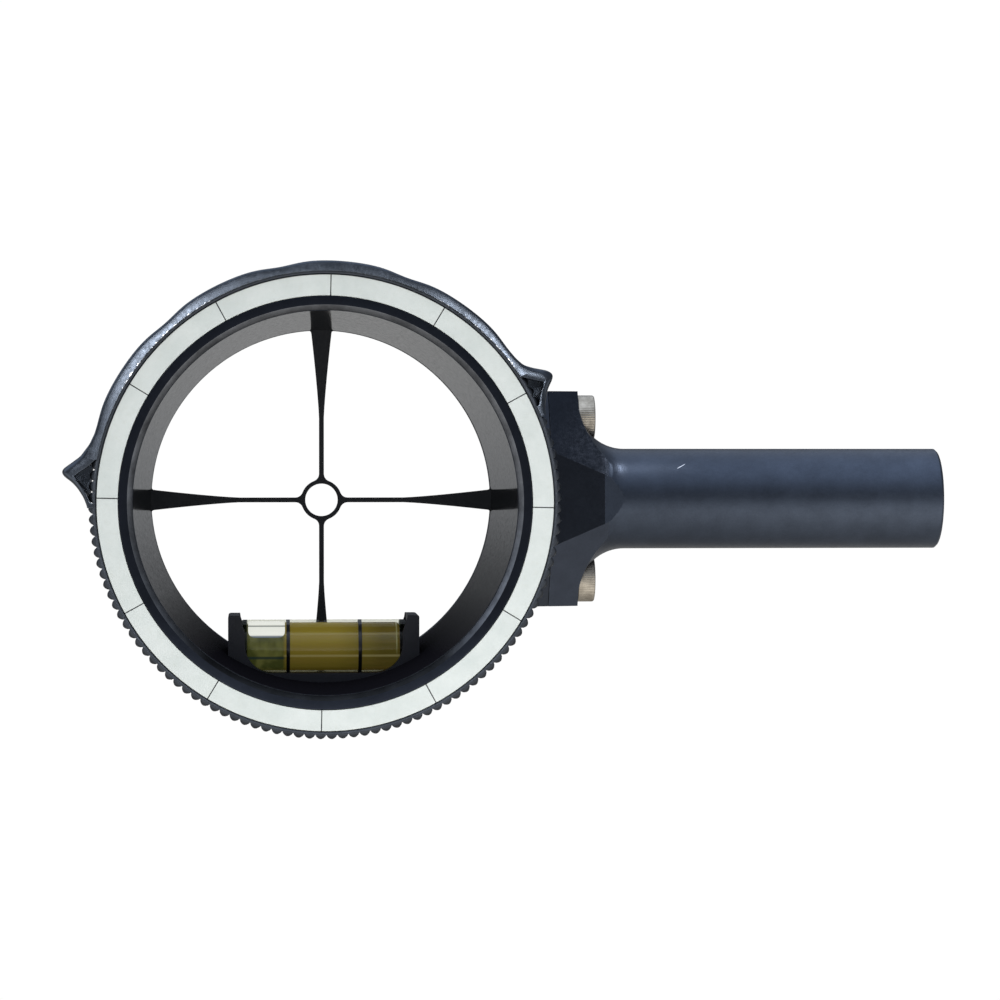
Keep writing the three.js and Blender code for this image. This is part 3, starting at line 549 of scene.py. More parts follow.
def steel(name):
    """Warm nickel-like steel with fine turning lines."""
    s = Shader(name)
    cloud = s.noise(1.2, 4.0, 0.6)
    colour = s.mix(s.ramp(cloud, 0.3, 0.7), (0.37, 0.335, 0.28), (0.60, 0.55, 0.47))
    grime = s.times(s.edges(0.15), s.ramp(s.noise(2.0, 3.0), 0.45, 0.65, 0.0, 0.5))
    colour = s.mix(grime, colour, (0.20, 0.18, 0.15))
    lines = s.node("ShaderNodeCombineXYZ", {0: s.axis("X"), 1: 0.0, 2: 0.0}).outputs[0]
    normal = s.bump(s.noise(16.0, 2.0, 0.6, lines), 0.006, 0.5)
    rough = s.ramp(s.noise(2.5, 3.0), 0.3, 0.7, 0.24, 0.4)
    return s.out(s.principled(Base_Color=colour, Metallic=1.0, Roughness=rough, Normal=normal))


def clear_tube(name):
    """Clear acrylic seen against what it holds: see-through, with soft reflections and painted shade
    towards its bottom.
    """
    s = Shader(name)
    rough = s.ramp(s.noise(1.5, 3.0), 0.3, 0.7, 0.04, 0.14)
    haze = s.noise(3.0, 3.0, 0.6)
    normal = s.bump(haze, 0.004, 0.3)
    fresnel = s.node("ShaderNodeFresnel", {"IOR": 1.47, "Normal": normal}).outputs[0]
    # Painted shade: the tube lets less light through towards its bottom.
    low = s.ramp(s.axis("Z"), VIAL_Z - 2.3, VIAL_Z - 3.0)
    tint = s.mix(low, (0.97, 0.98, 0.92), (0.45, 0.38, 0.18))
    ends = s.ramp(s.math("ABSOLUTE", s.axis("X")), VIAL_CHAMBER - 0.12, VIAL_CHAMBER + 0.02)
    tint = s.mix(ends, tint, (0.06, 0.07, 0.05))
    through = s.node("ShaderNodeBsdfTransparent", {"Color": tint}).outputs[0]
    gloss = s.node("ShaderNodeBsdfGlossy", {
        "Color": (1, 1, 1, 1), "Roughness": rough, "Normal": normal,
    }).outputs[0]
    share = s.times(fresnel, 0.35)
    return s.out(s.node("ShaderNodeMixShader", {0: share, 1: through, 2: gloss}).outputs[0])


def liquid(name):
    """Olive-yellow level liquid that glows a little, painted light: painted shade towards the
    bottom, painted pale streaks of reflected light, darker at both ends, painted green lens shade
    under the bubble.
    """
    s = Shader(name)
    z = s.math("SUBTRACT", s.axis("Z"), VIAL_Z)
    x = s.axis("X")
    # Painted shade: the liquid is darker towards the bottom.
    colour = s.mix(s.ramp(z, -2.9, 1.5), (0.105, 0.085, 0.012), (0.255, 0.195, 0.026))
    colour = s.mix(s.ramp(x, 1.5, 7.0, 0.0, 0.8), colour, (0.060, 0.048, 0.010))
    wave = s.noise(0.6, 2.0, 0.5, s.vector("MULTIPLY", s.place, (0.25, 1.0, 3.0)))
    colour = s.mix(s.ramp(wave, 0.35, 0.65, 0.0, 0.25), colour, (0.19, 0.12, 0.03))
    # Painted shade and lens swirls under the resting bubble: the left end turns a darker green.
    left = s.ramp(x, -4.5, -4.9)
    swirl = s.noise(0.55, 2.0, 0.5, s.vector("MULTIPLY", s.place, (1.0, 1.0, 0.7)))
    painted_lens_green = s.mix(s.ramp(swirl, 0.4, 0.6), (0.035, 0.050, 0.014), (0.115, 0.125, 0.040))
    colour = s.mix(s.times(left, 0.85), colour, painted_lens_green)
    # Painted highlights: two pale streaks of reflected light along the liquid.
    for height, width, strength in ((1.62, 0.16, 0.22), (-1.0, 0.2, 0.4)):
        away = s.off(z, height)
        painted_streak = s.times(s.ramp(away, width, width * 0.3), strength)
        painted_streak = s.times(painted_streak, s.ramp(left, 1.0, 0.0))
        colour = s.mix(painted_streak, colour, (0.42, 0.37, 0.18))
    shadow = s.ramp(s.off(z, -1.25), 0.22, 0.1, 0.0, 0.8)
    colour = s.mix(s.times(shadow, left), colour, (0.012, 0.026, 0.028))
    right = s.off(x, 8.75)
    glint = s.times(s.ramp(right, 0.12, 0.04, 0.0, 0.4), s.ramp(z, -1.0, 0.5))
    colour = s.mix(glint, colour, (0.4, 0.4, 0.22))
    normal = s.bump(s.noise(0.8, 2.0), 0.03, 0.3)
    # The liquid glows with its own colour: painted light.
    return s.out(s.principled(
        Base_Color=colour, Roughness=0.2, Normal=normal, IOR=1.36, Emission_Color=colour,
        Emission_Strength=0.42,
    ))


def air(name):
    """The air bubble, painted: it glows white for the light it lenses from behind, with a dark seam
    line and a painted shaded rim below.
    """
    s = Shader(name)
    z = s.math("SUBTRACT", s.axis("Z"), VIAL_Z)
    seam = s.ramp(s.off(z, 2.52), 0.11, 0.05, 0.0, 0.75)
    cloud = s.ramp(s.noise(0.7, 3.0), 0.3, 0.7, 0.0, 0.12)
    colour = s.mix(cloud, (1.0, 1.0, 0.98), (0.80, 0.84, 0.82))
    colour = s.mix(seam, colour, (0.12, 0.14, 0.14))
    # Painted shade: a darker rim along the bubble's lower edge.
    low = s.ramp(z, 1.50, 1.32)
    colour = s.mix(low, colour, (0.16, 0.19, 0.24))
    # The bubble glows: painted light for what it lenses from behind.
    painted_glow = s.node("ShaderNodeEmission", {"Color": colour, "Strength": 1.0}).outputs[0]
    normal = s.bump(s.noise(1.0, 2.0), 0.02, 0.2)
    skin = s.principled(Base_Color=colour, Roughness=0.12, Normal=normal, IOR=1.33)
    return s.out(s.node("ShaderNodeMixShader", {0: 0.25, 1: painted_glow, 2: skin}).outputs[0])


# Materials by key; a key may differ from the material's own name
MATERIALS = {
    # The stem's dye gets lighter towards its end: painted light.
    "stem": anodised("anodised_stem", (0.062, 0.077, 0.108), 0.34, 0.6, dust=0.02,
                     painted_light_gradient=("X", 42, 74, 0.97, 1.24), marks=(
                         ((42.5, -4.4, 4.15), (0, math.radians(-28), 0), (0.7, 0.8, 0.045)),
                     )),
    # Painted shade: the flange's milled front gets a darker copy of the stem's dye, shaded further
    # by where each face looks.
    "milled": anodised("anodised_milled", (0.040, 0.048, 0.066), 0.17, 0.3, wear=0.3, dust=0.01,
                       painted_shade_by_facing=(1.5, 0.72, 0.62)),
    "tube": anodised("anodised_tube", (0.050, 0.058, 0.076), 0.40, 0.5, dust=0.01),
    # The bore wall gets painted shade towards its bottom.
    "bore": anodised("anodised_bore", (0.053, 0.059, 0.066), 0.09, 0.0, mottle=0.05, wear=0.0,
                     turning=0.08, brushed=0.95, painted_shade_below=(-18.0, -10.5)),
    "ring": anodised("anodised_ring", (0.060, 0.068, 0.082), 0.38, 0.5, wear=0.5),
    # The cover gets painted glints on its inner lip at two stretches.
    "cover": anodised("anodised_cover", (0.066, 0.078, 0.098), 0.21, 0.1, mottle=0.25, wear=0.5,
                      dust=0.03, painted_lip_glints=((118, 152), (33, 62))),
    # The bezel's dye is lighter towards its bottom: painted light from below.
    "bezel": anodised("anodised_bezel", (0.018, 0.022, 0.032), 0.34, 0.4, wear=0.15, turning=0.3,
                      painted_light_gradient=("Z", -20, -12, 2.0, 1.0)),
    # The chamfer's dye is much darker towards its bottom: painted shade.
    "chamfer": anodised("anodised_chamfer", (0.17, 0.18, 0.20), 0.34, 0.4, mottle=0.4, wear=0.1,
                        turning=0.4, painted_light_gradient=("Z", -18, -13, 0.12, 1.0)),
    "reticle": anodised("reticle_black", (0.017, 0.020, 0.027), 0.7, 0.5, wear=0.05, metal=0.0),
    "enamel": enamel("scale_pale"),
    "steel": steel("screw_steel"),
    "holder": moulded("holder_plastic", (0.012, 0.014, 0.022), 0.42, 0.5, dust=0.05),
    "rubber": moulded("seal_rubber", (0.012, 0.012, 0.013), 0.75, 0.8),
    "glide": moulded("glide_plastic", (0.62, 0.60, 0.54), 0.5, 0.4),
    "ink": moulded("line_ink", (0.006, 0.006, 0.007), 0.45, 0.2, coat=0.5),
    "clear": clear_tube("vial_clear"),
    "liquid": liquid("vial_liquid"),
    "air": air("bubble_air"),
}


# ---- fixed pieces
def flange_facets():
    """Two wedges that leave the flange's front flat and the facet on each side of it."""
    spread = 30
    lifts = ((15, 0.0), (33.0, 0.0), (33.4, 0.01), (33.8, 0.04), (34.1, 0.085), (34.4, 0.15),
             (34.7, 0.24), (35.2, 0.45), (36.3, 1.2))
    wedges = []
    for side in (1, -1):
        sections = []
        for x, lift in lifts:
            shape = []
            edge = FLAT_END_HALF + (FLAT_END_X - x) * FLAT_SPREAD
            for out, reach in ((-1, 0), (spread, 0), (spread, -spread), (-1, -spread)):
                y = FLAT_Y + FACET_SLOPE * out / SLOPE_LENGTH + reach - lift
                shape.append((x, y, side * (edge + out) + STEM_RISE))
            sections.append(shape)
        wedges.append(lofted(sections))
    return wedges


def flange_block(x0, x1):
    """The flange's rounded block, along X."""
    top = FLANGE_HALF_Z
    outline = rounded(
        [(FLAT_Y, top), (FLAT_Y, -top), (FLANGE_BACK_Y, -top), (FLANGE_BACK_Y, top)],
        [0, 0, FLANGE_CORNER, FLANGE_CORNER], 6,
    )
    return lofted([[(x, y, z + STEM_RISE) for y, z in outline] for x in (x0, x1)])


def screw_places():
    return [(SCREW_Y, SCREW_Z + STEM_RISE), (SCREW_Y, -SCREW_Z + STEM_RISE)]


def housing():
    sharp = 0.12
    profile = rounded([
        (BORE_FRONT_R, TUBE_FRONT_Y), (THREAD_R, TUBE_FRONT_Y), (THREAD_R, JOURNAL_FRONT_Y),
        (JOURNAL_R, JOURNAL_FRONT_Y), (JOURNAL_R, GROOVE_Y - GROOVE_WIDTH / 2),
        (GROOVE_R, GROOVE_Y - GROOVE_WIDTH / 2), (GROOVE_R, GROOVE_Y + GROOVE_WIDTH / 2),
        (JOURNAL_R, GROOVE_Y + GROOVE_WIDTH / 2), (JOURNAL_R, COLLAR_FRONT_Y),
        (COLLAR_R, COLLAR_FRONT_Y), (COLLAR_R, COLLAR_REAR_Y), (REAR_RIM_R, COLLAR_REAR_Y),
        (REAR_RIM_R, TUBE_REAR_Y), (REAR_SEAT_R, TUBE_REAR_Y), (REAR_SEAT_R, RETICLE_FRONT_Y),
        (BORE_REAR_R, RETICLE_FRONT_Y),
    ], [0, sharp, 0, sharp, sharp, 0, 0, sharp, 0, 0.5, 0.5, 0.3, 0.45, sharp, 0, 0])
    body = turned(profile)
    saddle = cut(flange_block(18, FLANGE_FRONT_X - 0.02), *flange_facets())
    inside = turned([(0.01, -17), (BORE_FRONT_R + 1, -17), (BORE_FRONT_R + 1, 16), (0.01, 16)])
    saddle = softened(cut(saddle, inside), 0.3, 3, 40)
    pocket = block(
        (-HOLDER_HALF_X - GAP, HOLDER_FRONT_Y - GAP, -HOLDER_BASE_R + 0.1),
        (HOLDER_HALF_X + GAP, HOLDER_REAR_Y + GAP, HOLDER_TOP_Z),
    )
    holes = [moved(
        along_x([
            (0, -30), (HOLDER_SCREW_HEAD_R + GAP, -30), (HOLDER_SCREW_HEAD_R + GAP, -24.5),
            (HOLDER_SCREW_R + GAP, -24.5), (HOLDER_SCREW_R + GAP, -20), (0, -20),
        ], 32),
        shift(x, VIAL_Y, 0) @ Matrix.Rotation(-math.pi / 2, 4, "Y"),
    ) for x in (-HOLDER_SCREW_X, HOLDER_SCREW_X)]
    flange_holes = rod(SCREW_R + GAP, 22.5, 40, 32, screw_places())
    return cut(joined(body, saddle), pocket, *holes, flange_holes)


def bezel():
    return turned(rounded([
        (BEZEL_BORE_R + BEZEL_CHAMFER, BEZEL_FRONT_Y), (BEZEL_LIP_R, BEZEL_FRONT_Y),
        (BEZEL_LIP_R, BEZEL_FLANGE_Y), (BEZEL_FLANGE_R, BEZEL_FLANGE_Y),
        (BEZEL_FLANGE_R, BEZEL_REAR_Y), (THREAD_R + GAP, BEZEL_REAR_Y),
        (THREAD_R + GAP, TUBE_FRONT_Y - 0.02), (BEZEL_BORE_R, TUBE_FRONT_Y - 0.02),
        (BEZEL_BORE_R, BEZEL_FRONT_Y + BEZEL_CHAMFER),
    ], [0.08, 0.14, 0, 0.1, 0.1, 0.1, 0, 0.05, 0.08]))


def crosshair():
    """Plate with four windows and an open eye in the middle."""
    rim, thin, root = BORE_REAR_R, VANE_THIN / 2, VANE_ROOT / 2
    corner, eye_fillet = 0.45, 0.95
    from_rim = math.asin((root + corner) / rim)
    eye_reach = EYE_OUTER_R + eye_fillet
    across = math.sqrt(eye_reach ** 2 - (thin + eye_fillet) ** 2)
    on_eye = math.atan2(thin + eye_fillet, across)
    along = math.sqrt(rim ** 2 - root ** 2)

    def edge():
        """One side of a vane, from the rim to the eye, as (distance from centre, half width)."""
        side = []
        for i in range(4):
            t = i / 3
            blend = t * t
            side.append((
                rim * math.cos(from_rim * (1 - t)) * (1 - blend) + (along - corner) * blend,
                rim * math.sin(from_rim) * (1 - t) ** 2 + root * (1 - (1 - t) ** 2),
            ))
        for i in range(1, 9):
            t = i / 8
            x = (along - corner) * (1 - t) + VANE_KNEE_R * t
            side.append((x, thin + (root - thin) * (1 - t) ** 1.25))
        for i in range(5, -1, -1):
            a = on_eye + (math.pi / 2 - on_eye) * i / 5
            half = thin + eye_fillet - eye_fillet * math.sin(a)
            side.append((across - eye_fillet * math.cos(a), half))
        return side

    lower = edge()
    upper = [(z, x) for x, z in reversed(lower)]
    eye = arc(EYE_OUTER_R, on_eye, math.pi / 2 - 2 * on_eye, 8, ends=False)
    edge_of_rim = arc(rim, math.pi / 2 - from_rim, 2 * from_rim - math.pi / 2, 24, ends=False)
    outline = lower + eye + upper + edge_of_rim
    plate = turned(rounded([
        (0.001, RETICLE_FRONT_Y), (RETICLE_RIM_R, RETICLE_FRONT_Y),
        (RETICLE_RIM_R, RETICLE_REAR_Y), (0.001, RETICLE_REAR_Y),
    ], [0, 0.05, 0.05, 0]))
    windows = []
    for quarter in range(4):
        windows.append(moved(slab(outline, 11, 14), turn_y(quarter * math.pi / 2)))
    hole = turned([(0.0005, 11), (EYE_INNER_R, 11), (EYE_INNER_R, 14), (0.0005, 14)])
    return softened(cut(plate, *windows, hole), 0.05, 2, 50)


def retainer():
    ring = turned(rounded([
        (BORE_REAR_R, RETICLE_REAR_Y + 0.02), (REAR_SEAT_R - GAP, RETICLE_REAR_Y + 0.02),
        (REAR_SEAT_R - GAP, TUBE_REAR_Y), (BORE_REAR_R, TUBE_REAR_Y),
    ], [0, 0, 0.12, 0.25]))
    return cut(ring, block((-30, TUBE_REAR_Y - 0.6, -0.6), (30, TUBE_REAR_Y + 1, 0.6)))


def stem():
    """Flange, flare and round stem as one body, with the flat and facets on the front."""
    flare = []
    for i in range(25):
        a = i / 24 * math.pi / 2
        radius = STEM_R + FLARE - FLARE * math.sin(a)
        flare.append((radius, FLANGE_REAR_X + FLARE - FLARE * math.cos(a)))
    length = [(STEM_R, x) for x in (36.6, 37.5, 39, 42, 50, 60, 72)]
    end = rounded([(STEM_R, 73), (STEM_R, STEM_END_X - 0.28), (STEM_R - 0.28, STEM_END_X),
                   (0.0, STEM_END_X), (0.0, 73)], [0, 0.12, 0.12, 0, 0])
    spindle = along_x([
        (0, FLANGE_REAR_X - 1), (STEM_R + FLARE, FLANGE_REAR_X - 1), *flare, *length, *end[:-2],
        (0, STEM_END_X),
    ], 160, ((0, STEM_RISE),))
    ramp = [(0, -20), (0, FLAT_Y), (FLAT_RAMP_X, FLAT_Y), (36.3, -6.13), (36.3, -20)]
    front = lofted([[(x, y, z) for x, y in ramp] for z in (-20, 20)])
    back = block((0, FLANGE_BACK_Y, -20), (50, 20, 20))
    root = joined(flange_block(FLANGE_FRONT_X, FLANGE_REAR_X), spindle)
    shaped = cut(root, front, back, *flange_facets())
    spots = rod(SPOT_R, FLANGE_REAR_X, 45, 64, screw_places())
    holes = rod(SCREW_R + GAP, 0, 45, 32, screw_places())
    return softened(cut(shaped, spots, holes), 0.08, 2, 28)


# ---- screws
def cap_screw(shank_r, head_r, head, length, hex_r, hex_depth, ribs=0):
    """A cap screw along X: the head lies towards +X from 0. Ribs make the straight knurl."""
    profile = rounded([
        (0, -length), (shank_r, -length), (shank_r, 0), (head_r, 0), (head_r, head), (0, head),
    ], [0, 0.2, 0.1, 0.12, 0.28 if head > 1 else 0.1, 0])
    segments = ribs * 4 if ribs else 48
    mesh = along_x(profile, segments)
    if ribs:
        for vertex in mesh.vertices:
            r = math.hypot(vertex.co.y, vertex.co.z)
            if r > head_r - 0.02 and 0.2 < vertex.co.x < head - 0.2:
                a = math.atan2(vertex.co.z, vertex.co.y)
                scale = 1 - 0.02 * (1 - abs(math.cos(a * ribs / 2)))
                vertex.co.y *= scale
                vertex.co.z *= scale
    countersink = along_x([
        (0, head - 0.12), (hex_r, head - 0.12), (hex_r + 0.14, head + 0.02),
        (hex_r + 0.14, head + 1), (0, head + 1),
    ], 48)
    return cut(mesh, rod(hex_r, head - hex_depth, head + 1, 6), countersink)


def flange_screw(place):
    screw = cap_screw(SCREW_R, SCREW_HEAD_R, SCREW_HEAD, 7.65, 1.3, 1.2, ribs=72)
    return moved(screw, shift(FLANGE_REAR_X + 0.02, *place))


def holder_screw(x):
    screw = cap_screw(HOLDER_SCREW_R, HOLDER_SCREW_HEAD_R, 1.2, 3.3, 0.8, 0.7)
    return moved(screw, shift(x, VIAL_Y, -24.52) @ Matrix.Rotation(math.pi / 2, 4, "Y"))


def cover_screw(angle):
    screw = cap_screw(COVER_SCREW_R, COVER_SCREW_HEAD_R, 0.3, 2.35, 0.5, 0.22)
    return moved(screw, shift(0, COVER_SCREW_Y, 0) @ turn_y(angle) @ shift(27.52, 0, 0))


# ---- level
def holder():
    base = math.acos(HOLDER_HALF_X / HOLDER_BASE_R)
    foot = arc(HOLDER_BASE_R, -math.pi + base, math.pi - 2 * base, 24)
    top = rounded([
        (HOLDER_HALF_X, -20), (HOLDER_HALF_X, HOLDER_TOP_Z), (-HOLDER_HALF_X, HOLDER_TOP_Z),
        (-HOLDER_HALF_X, -20),
    ], [0, 0.3, 0.3, 0], 4)[1:-1]
    body = slab(foot + top, HOLDER_FRONT_Y, HOLDER_REAR_Y)
    side_x, top_x, floor_z, corner = 9.4, 10.0, -20.5, 3.4
    window = arc(corner, -math.pi, math.pi / 2, 12, centre=(-side_x + corner, floor_z + corner))
    window += [(-x, z) for x, z in reversed(window)]
    flank = [(side_x, -15.7), (side_x + 0.12, -15.3), (top_x - 0.08, -14.1), (top_x, -13.5),
             (top_x + 0.1, -12)]
    window += flank + [(-x, z) for x, z in reversed(flank)]
    opening = slab(window, HOLDER_FRONT_Y - 1, HOLDER_REAR_Y + 1)
    seat = rod(VIAL_R + GAP, -10.06, 10.06, 96, ((VIAL_Y, VIAL_Z),))
    entry = block(
        (-10.06, VIAL_Y - VIAL_R - GAP, VIAL_Z), (10.06, VIAL_Y + VIAL_R + GAP, HOLDER_TOP_Z + 1),
    )
    holes = [moved(
        rod(HOLDER_SCREW_R + GAP, -30, -21.14, 32),
        shift(x, VIAL_Y, 0) @ Matrix.Rotation(-math.pi / 2, 4, "Y"),
    ) for x in (-HOLDER_SCREW_X, HOLDER_SCREW_X)]
    return softened(cut(body, opening, seat, entry, *holes), 0.14, 3, 35)


def vial_shell():
    profile = [(0, -VIAL_HALF), (VIAL_R - 0.4, -VIAL_HALF), (VIAL_R - 0.12, -VIAL_HALF + 0.12),
               (VIAL_R, -VIAL_HALF + 0.4), (VIAL_R, VIAL_HALF - 0.2),
               (VIAL_R - 0.06, VIAL_HALF - 0.06), (VIAL_R - 0.2, VIAL_HALF),
               (VIAL_BORE_R, VIAL_HALF), (VIAL_BORE_R, -VIAL_CHAMBER + 0.4),
               (VIAL_BORE_R - 0.12, -VIAL_CHAMBER + 0.12), (VIAL_BORE_R - 0.4, -VIAL_CHAMBER),
               (0, -VIAL_CHAMBER)]
    return along_x(profile, 96, VIAL_PLACE)


def bubble_cap(start, end):
    """The bubble as the clear tube shows it: a thin lens over the top of the liquid."""
    half_x, half_turn, corner = (end - start) / 2, math.radians(66), 0.95
    half_s = LIQUID_R * half_turn
    outline = rounded([
        (-half_x, -half_s), (0, -half_s), (half_x, -half_s), (half_x, 0), (half_x, half_s),
        (0, half_s), (-half_x, half_s), (-half_x, 0),
    ], [corner, 0, corner, 0, corner, 0, corner, 0], 6)
    dense = []
    for i, (x, s) in enumerate(outline):
        x1, s1 = outline[(i + 1) % len(outline)]
        steps = max(1, int(math.hypot(x1 - x, s1 - s) / 0.2))
        dense += [(x + (x1 - x) * k / steps, s + (s1 - s) * k / steps) for k in range(steps)]

    def layer(scale, lift):
        points = []
        for x, s in dense:
            a = s * scale / LIQUID_R
            r = LIQUID_R + lift
            x = (start + end) / 2 + x * scale
            points.append((x, VIAL_Y + r * math.sin(a), VIAL_Z + r * math.cos(a)))
        return points

    scales = [0.02, 0.12, 0.24, 0.36, 0.48, 0.6, 0.7, 0.8, 0.88, 0.94, 0.98]
    outer = [layer(k, 0.02 + 0.13 * math.sqrt(1 - k ** 6)) for k in scales]
    inner = [layer(k, 0.008) for k in reversed(scales)]
    return lofted([*outer, layer(1.0, 0.015), *inner])


def vial_fill():
    profile = rounded([(0, LIQUID_START_X), (LIQUID_R, LIQUID_START_X), (LIQUID_R, LIQUID_END_X),
                       (0, LIQUID_END_X)], [0, 0.5, 0.5, 0], 5)
    return along_x(profile, 96, VIAL_PLACE)


def vial_line(x):
    inner, outer, half = VIAL_R - 0.15, VIAL_R + 0.005, LINE_WIDTH / 2
    profile = rounded([(inner, -half), (outer, -half), (outer, half), (inner, half)], 0.03, 2)
    ring = turned(profile, around(96))
    place = shift(x, VIAL_Y, VIAL_Z) @ Matrix.Rotation(-math.pi / 2, 4, "Z")
    return moved(ring, place)


# ---- turning pieces
def scale_ring():
    ring = turned(rounded([
        (SCALE_INNER_R, SCALE_FRONT_Y), (SCALE_OUTER_R, SCALE_FRONT_Y),
        (SCALE_OUTER_R, SCALE_REAR_Y), (SCALE_INNER_R, SCALE_REAR_Y),
    ], [0.06, 0.08, 0.1, 0.1]))
    marks = [moved(
        block((SCALE_INNER_R - 1, SCALE_FRONT_Y - 1, -MARK_WIDTH / 2),
              (SCALE_OUTER_R + 1, SCALE_FRONT_Y + MARK_DEPTH, MARK_WIDTH / 2)),
        turn_y(-MARK_TURN + 2 * math.pi * i / MARK_COUNT),
    ) for i in range(MARK_COUNT)]
    return cut(ring, merged(marks))


def knurled_ring():
    per_tooth = 8

    def profile(angle):
        tooth = abs(math.sin(angle * KNURL_TEETH / 2))
        radius = KNURL_ROOT_R + (KNURL_TIP_R - KNURL_ROOT_R) * tooth ** 0.7
        limits = ((KNURL_FRONT_Y, 0.5), (KNURL_FRONT_Y + 0.12, 0.26), (KNURL_FRONT_Y + 0.42, 0.0),
                  (KNURL_REAR_Y - 0.42, 0.0), (KNURL_REAR_Y - 0.12, 0.26), (KNURL_REAR_Y, 0.5))
        outer = [(min(radius, KNURL_TIP_R - inset), y) for y, inset in limits]
        inner = [
            (JOURNAL_R + GAP, KNURL_REAR_Y), (JOURNAL_R + GAP, WEB_FRONT_Y),
            (BEZEL_FLANGE_R + 0.15, WEB_FRONT_Y), (BEZEL_FLANGE_R + 0.15, SCALE_REAR_Y + 0.02),
            (SCALE_OUTER_R + GAP, SCALE_REAR_Y + 0.02), (SCALE_OUTER_R + GAP, KNURL_FRONT_Y + 0.08),
            (SCALE_OUTER_R + 0.14, KNURL_FRONT_Y),
        ]
        return outer + inner

    ring = turned(profile, around(KNURL_TEETH * per_tooth))
    holes = [cover_hole(angle) for angle in COVER_SCREW_ANGLES.values()]
    return cut(ring, *holes)


def cover_hole(angle):
    shank, head = COVER_SCREW_R + GAP, COVER_SCREW_HEAD_R + GAP
    hole = along_x([
        (0, 25.05), (shank, 25.05), (shank, 27.5), (head, 27.5), (head, 33), (0, 33),
    ], 32)
    return moved(hole, shift(0, COVER_SCREW_Y, 0) @ turn_y(angle))


# Outlines in (degrees, radius): the cover's edge at each wing, and the pocket beside it
RIGHT_WING = (
    (21.8, 27.42), (23.0, 27.47), (24.8, 27.98), (26.2, 28.48), (27.2, 28.9), (27.9, 29.38),
    (28.5, 29.85), (29.2, 30.2), (30.0, 30.17), (31.0, 29.81), (31.8, 29.32), (33.2, 28.53),
    (34.9, 27.84), (36.8, 27.6),
)
LEFT_WING = (
    (163.7, 27.76), (166.0, 27.95), (169.2, 28.68), (171.2, 29.67), (172.1, 30.22), (172.7, 30.5),
    (173.2, 30.58), (173.8, 30.48), (174.3, 30.2), (175.2, 29.32), (176.7, 28.52), (178.6, 27.86),
    (180.6, 27.45), (181.2, 27.42),
)
RIGHT_POCKET = (
    (33.2, 26.4), (32.7, 26.9), (30.9, 27.8), (29.6, 28.5), (29.15, 28.8), (28.1, 28.45),
    (26.6, 27.7), (24.8, 27.1), (24.2, 26.4),
)
LEFT_POCKET = (
    (168.9, 26.4), (169.4, 26.95), (171.4, 27.75), (172.9, 28.6), (173.9, 29.1), (174.9, 28.75),
    (176.4, 28.05), (178.1, 27.45), (179.8, 27.1), (180.4, 26.4),
)
POCKET_DEPTH = 6.5
COVER_STEPS = 480


def cover_outline():
    """The cover's outer radius at even angles: body with scallops between the two wings."""
    angles = np.linspace(RIGHT_WING[0][0], LEFT_WING[-1][0], COVER_STEPS + 1)
    radii = COVER_R + 0.15 * np.cos(np.radians(angles - 150))
    for i in range(5):
        radii -= 0.3 * np.exp(-((angles - 39.5 - 30.75 * i) / 5) ** 2)
    for table in (RIGHT_WING, LEFT_WING):
        inside = (angles >= table[0][0]) & (angles <= table[-1][0])
        radii[inside] = np.interp(angles[inside], *zip(*table))
    for _ in range(3):
        radii[1:-1] = (radii[:-2] + 2 * radii[1:-1] + radii[2:]) / 4
    return np.radians(angles), radii


def grip_cover():
    angles, radii = cover_outline()
    wings = (RIGHT_WING, LEFT_WING)
    tips = [math.radians(max(table, key=lambda row: row[1])[0]) for table in wings]

    def profile(angle):
        outer = float(np.interp(angle, angles, radii))
        share = max(0.0, 1 - min(abs(angle - tip) for tip in tips) / math.radians(7.5))
        front = 0.34 + 0.75 * share * share * (3 - 2 * share)
        return rounded([
            (COVER_LIP_R, COVER_FRONT_Y + 0.05), (COVER_LIP_R + 0.06, COVER_FRONT_Y),
            (outer, COVER_FRONT_Y + 0.1 * (outer - COVER_LIP_R)), (outer, KNURL_REAR_Y),
            (KNURL_TIP_R + GAP, KNURL_REAR_Y), (KNURL_TIP_R + GAP, KNURL_FRONT_Y - GAP),
            (COVER_LIP_R, KNURL_FRONT_Y - GAP),
        ], [0.02, 0.02, front, min(0.3, outer - KNURL_TIP_R - GAP), 0.0, 0, 0.05], 5)

    shell = turned(profile, angles, closed=False)
    pockets = []
    for table in (RIGHT_POCKET, LEFT_POCKET):
        (first, inner), last = table[0], table[-1][0]
        back = [(last + (first - last) * i / 6, inner) for i in range(1, 6)]
        turns = [(math.radians(a), r) for a, r in [*table, *back]]
        outline = [(r * math.cos(a), r * math.sin(a)) for a, r in turns]
        pockets.append(slab(outline, COVER_FRONT_Y - 1, COVER_FRONT_Y + POCKET_DEPTH))
    holes = [cover_hole(angle) for angle in COVER_SCREW_ANGLES.values()]
    return softened(cut(shell, *pockets, *holes), 0.1, 3, 60)


# ---- assembly
def in_bore(centre, normal):
    """Faces of the bore wall: near the bore's radius and looking at the axis."""
    radius = math.hypot(centre.x, centre.z)
    return radius < BORE_FRONT_R + 0.05 and normal.x * centre.x + normal.z * centre.z < 0


def on_chamfer(centre, normal):
    """Faces of the slanted inner edge of the bezel."""
    return centre.y < BEZEL_FRONT_Y + BEZEL_CHAMFER + 0.05 and abs(normal.y) < 0.95 and math.hypot(
        centre.x, centre.z) < BEZEL_BORE_R + BEZEL_CHAMFER + 0.05


def on_flange_front(centre, normal):
    """The milled flat and facets of the flange."""
    return centre.x < FLAT_END_X and centre.y < 0 and min(
        (normal - facing).length for facing in FLANGE_NORMALS) < 0.09


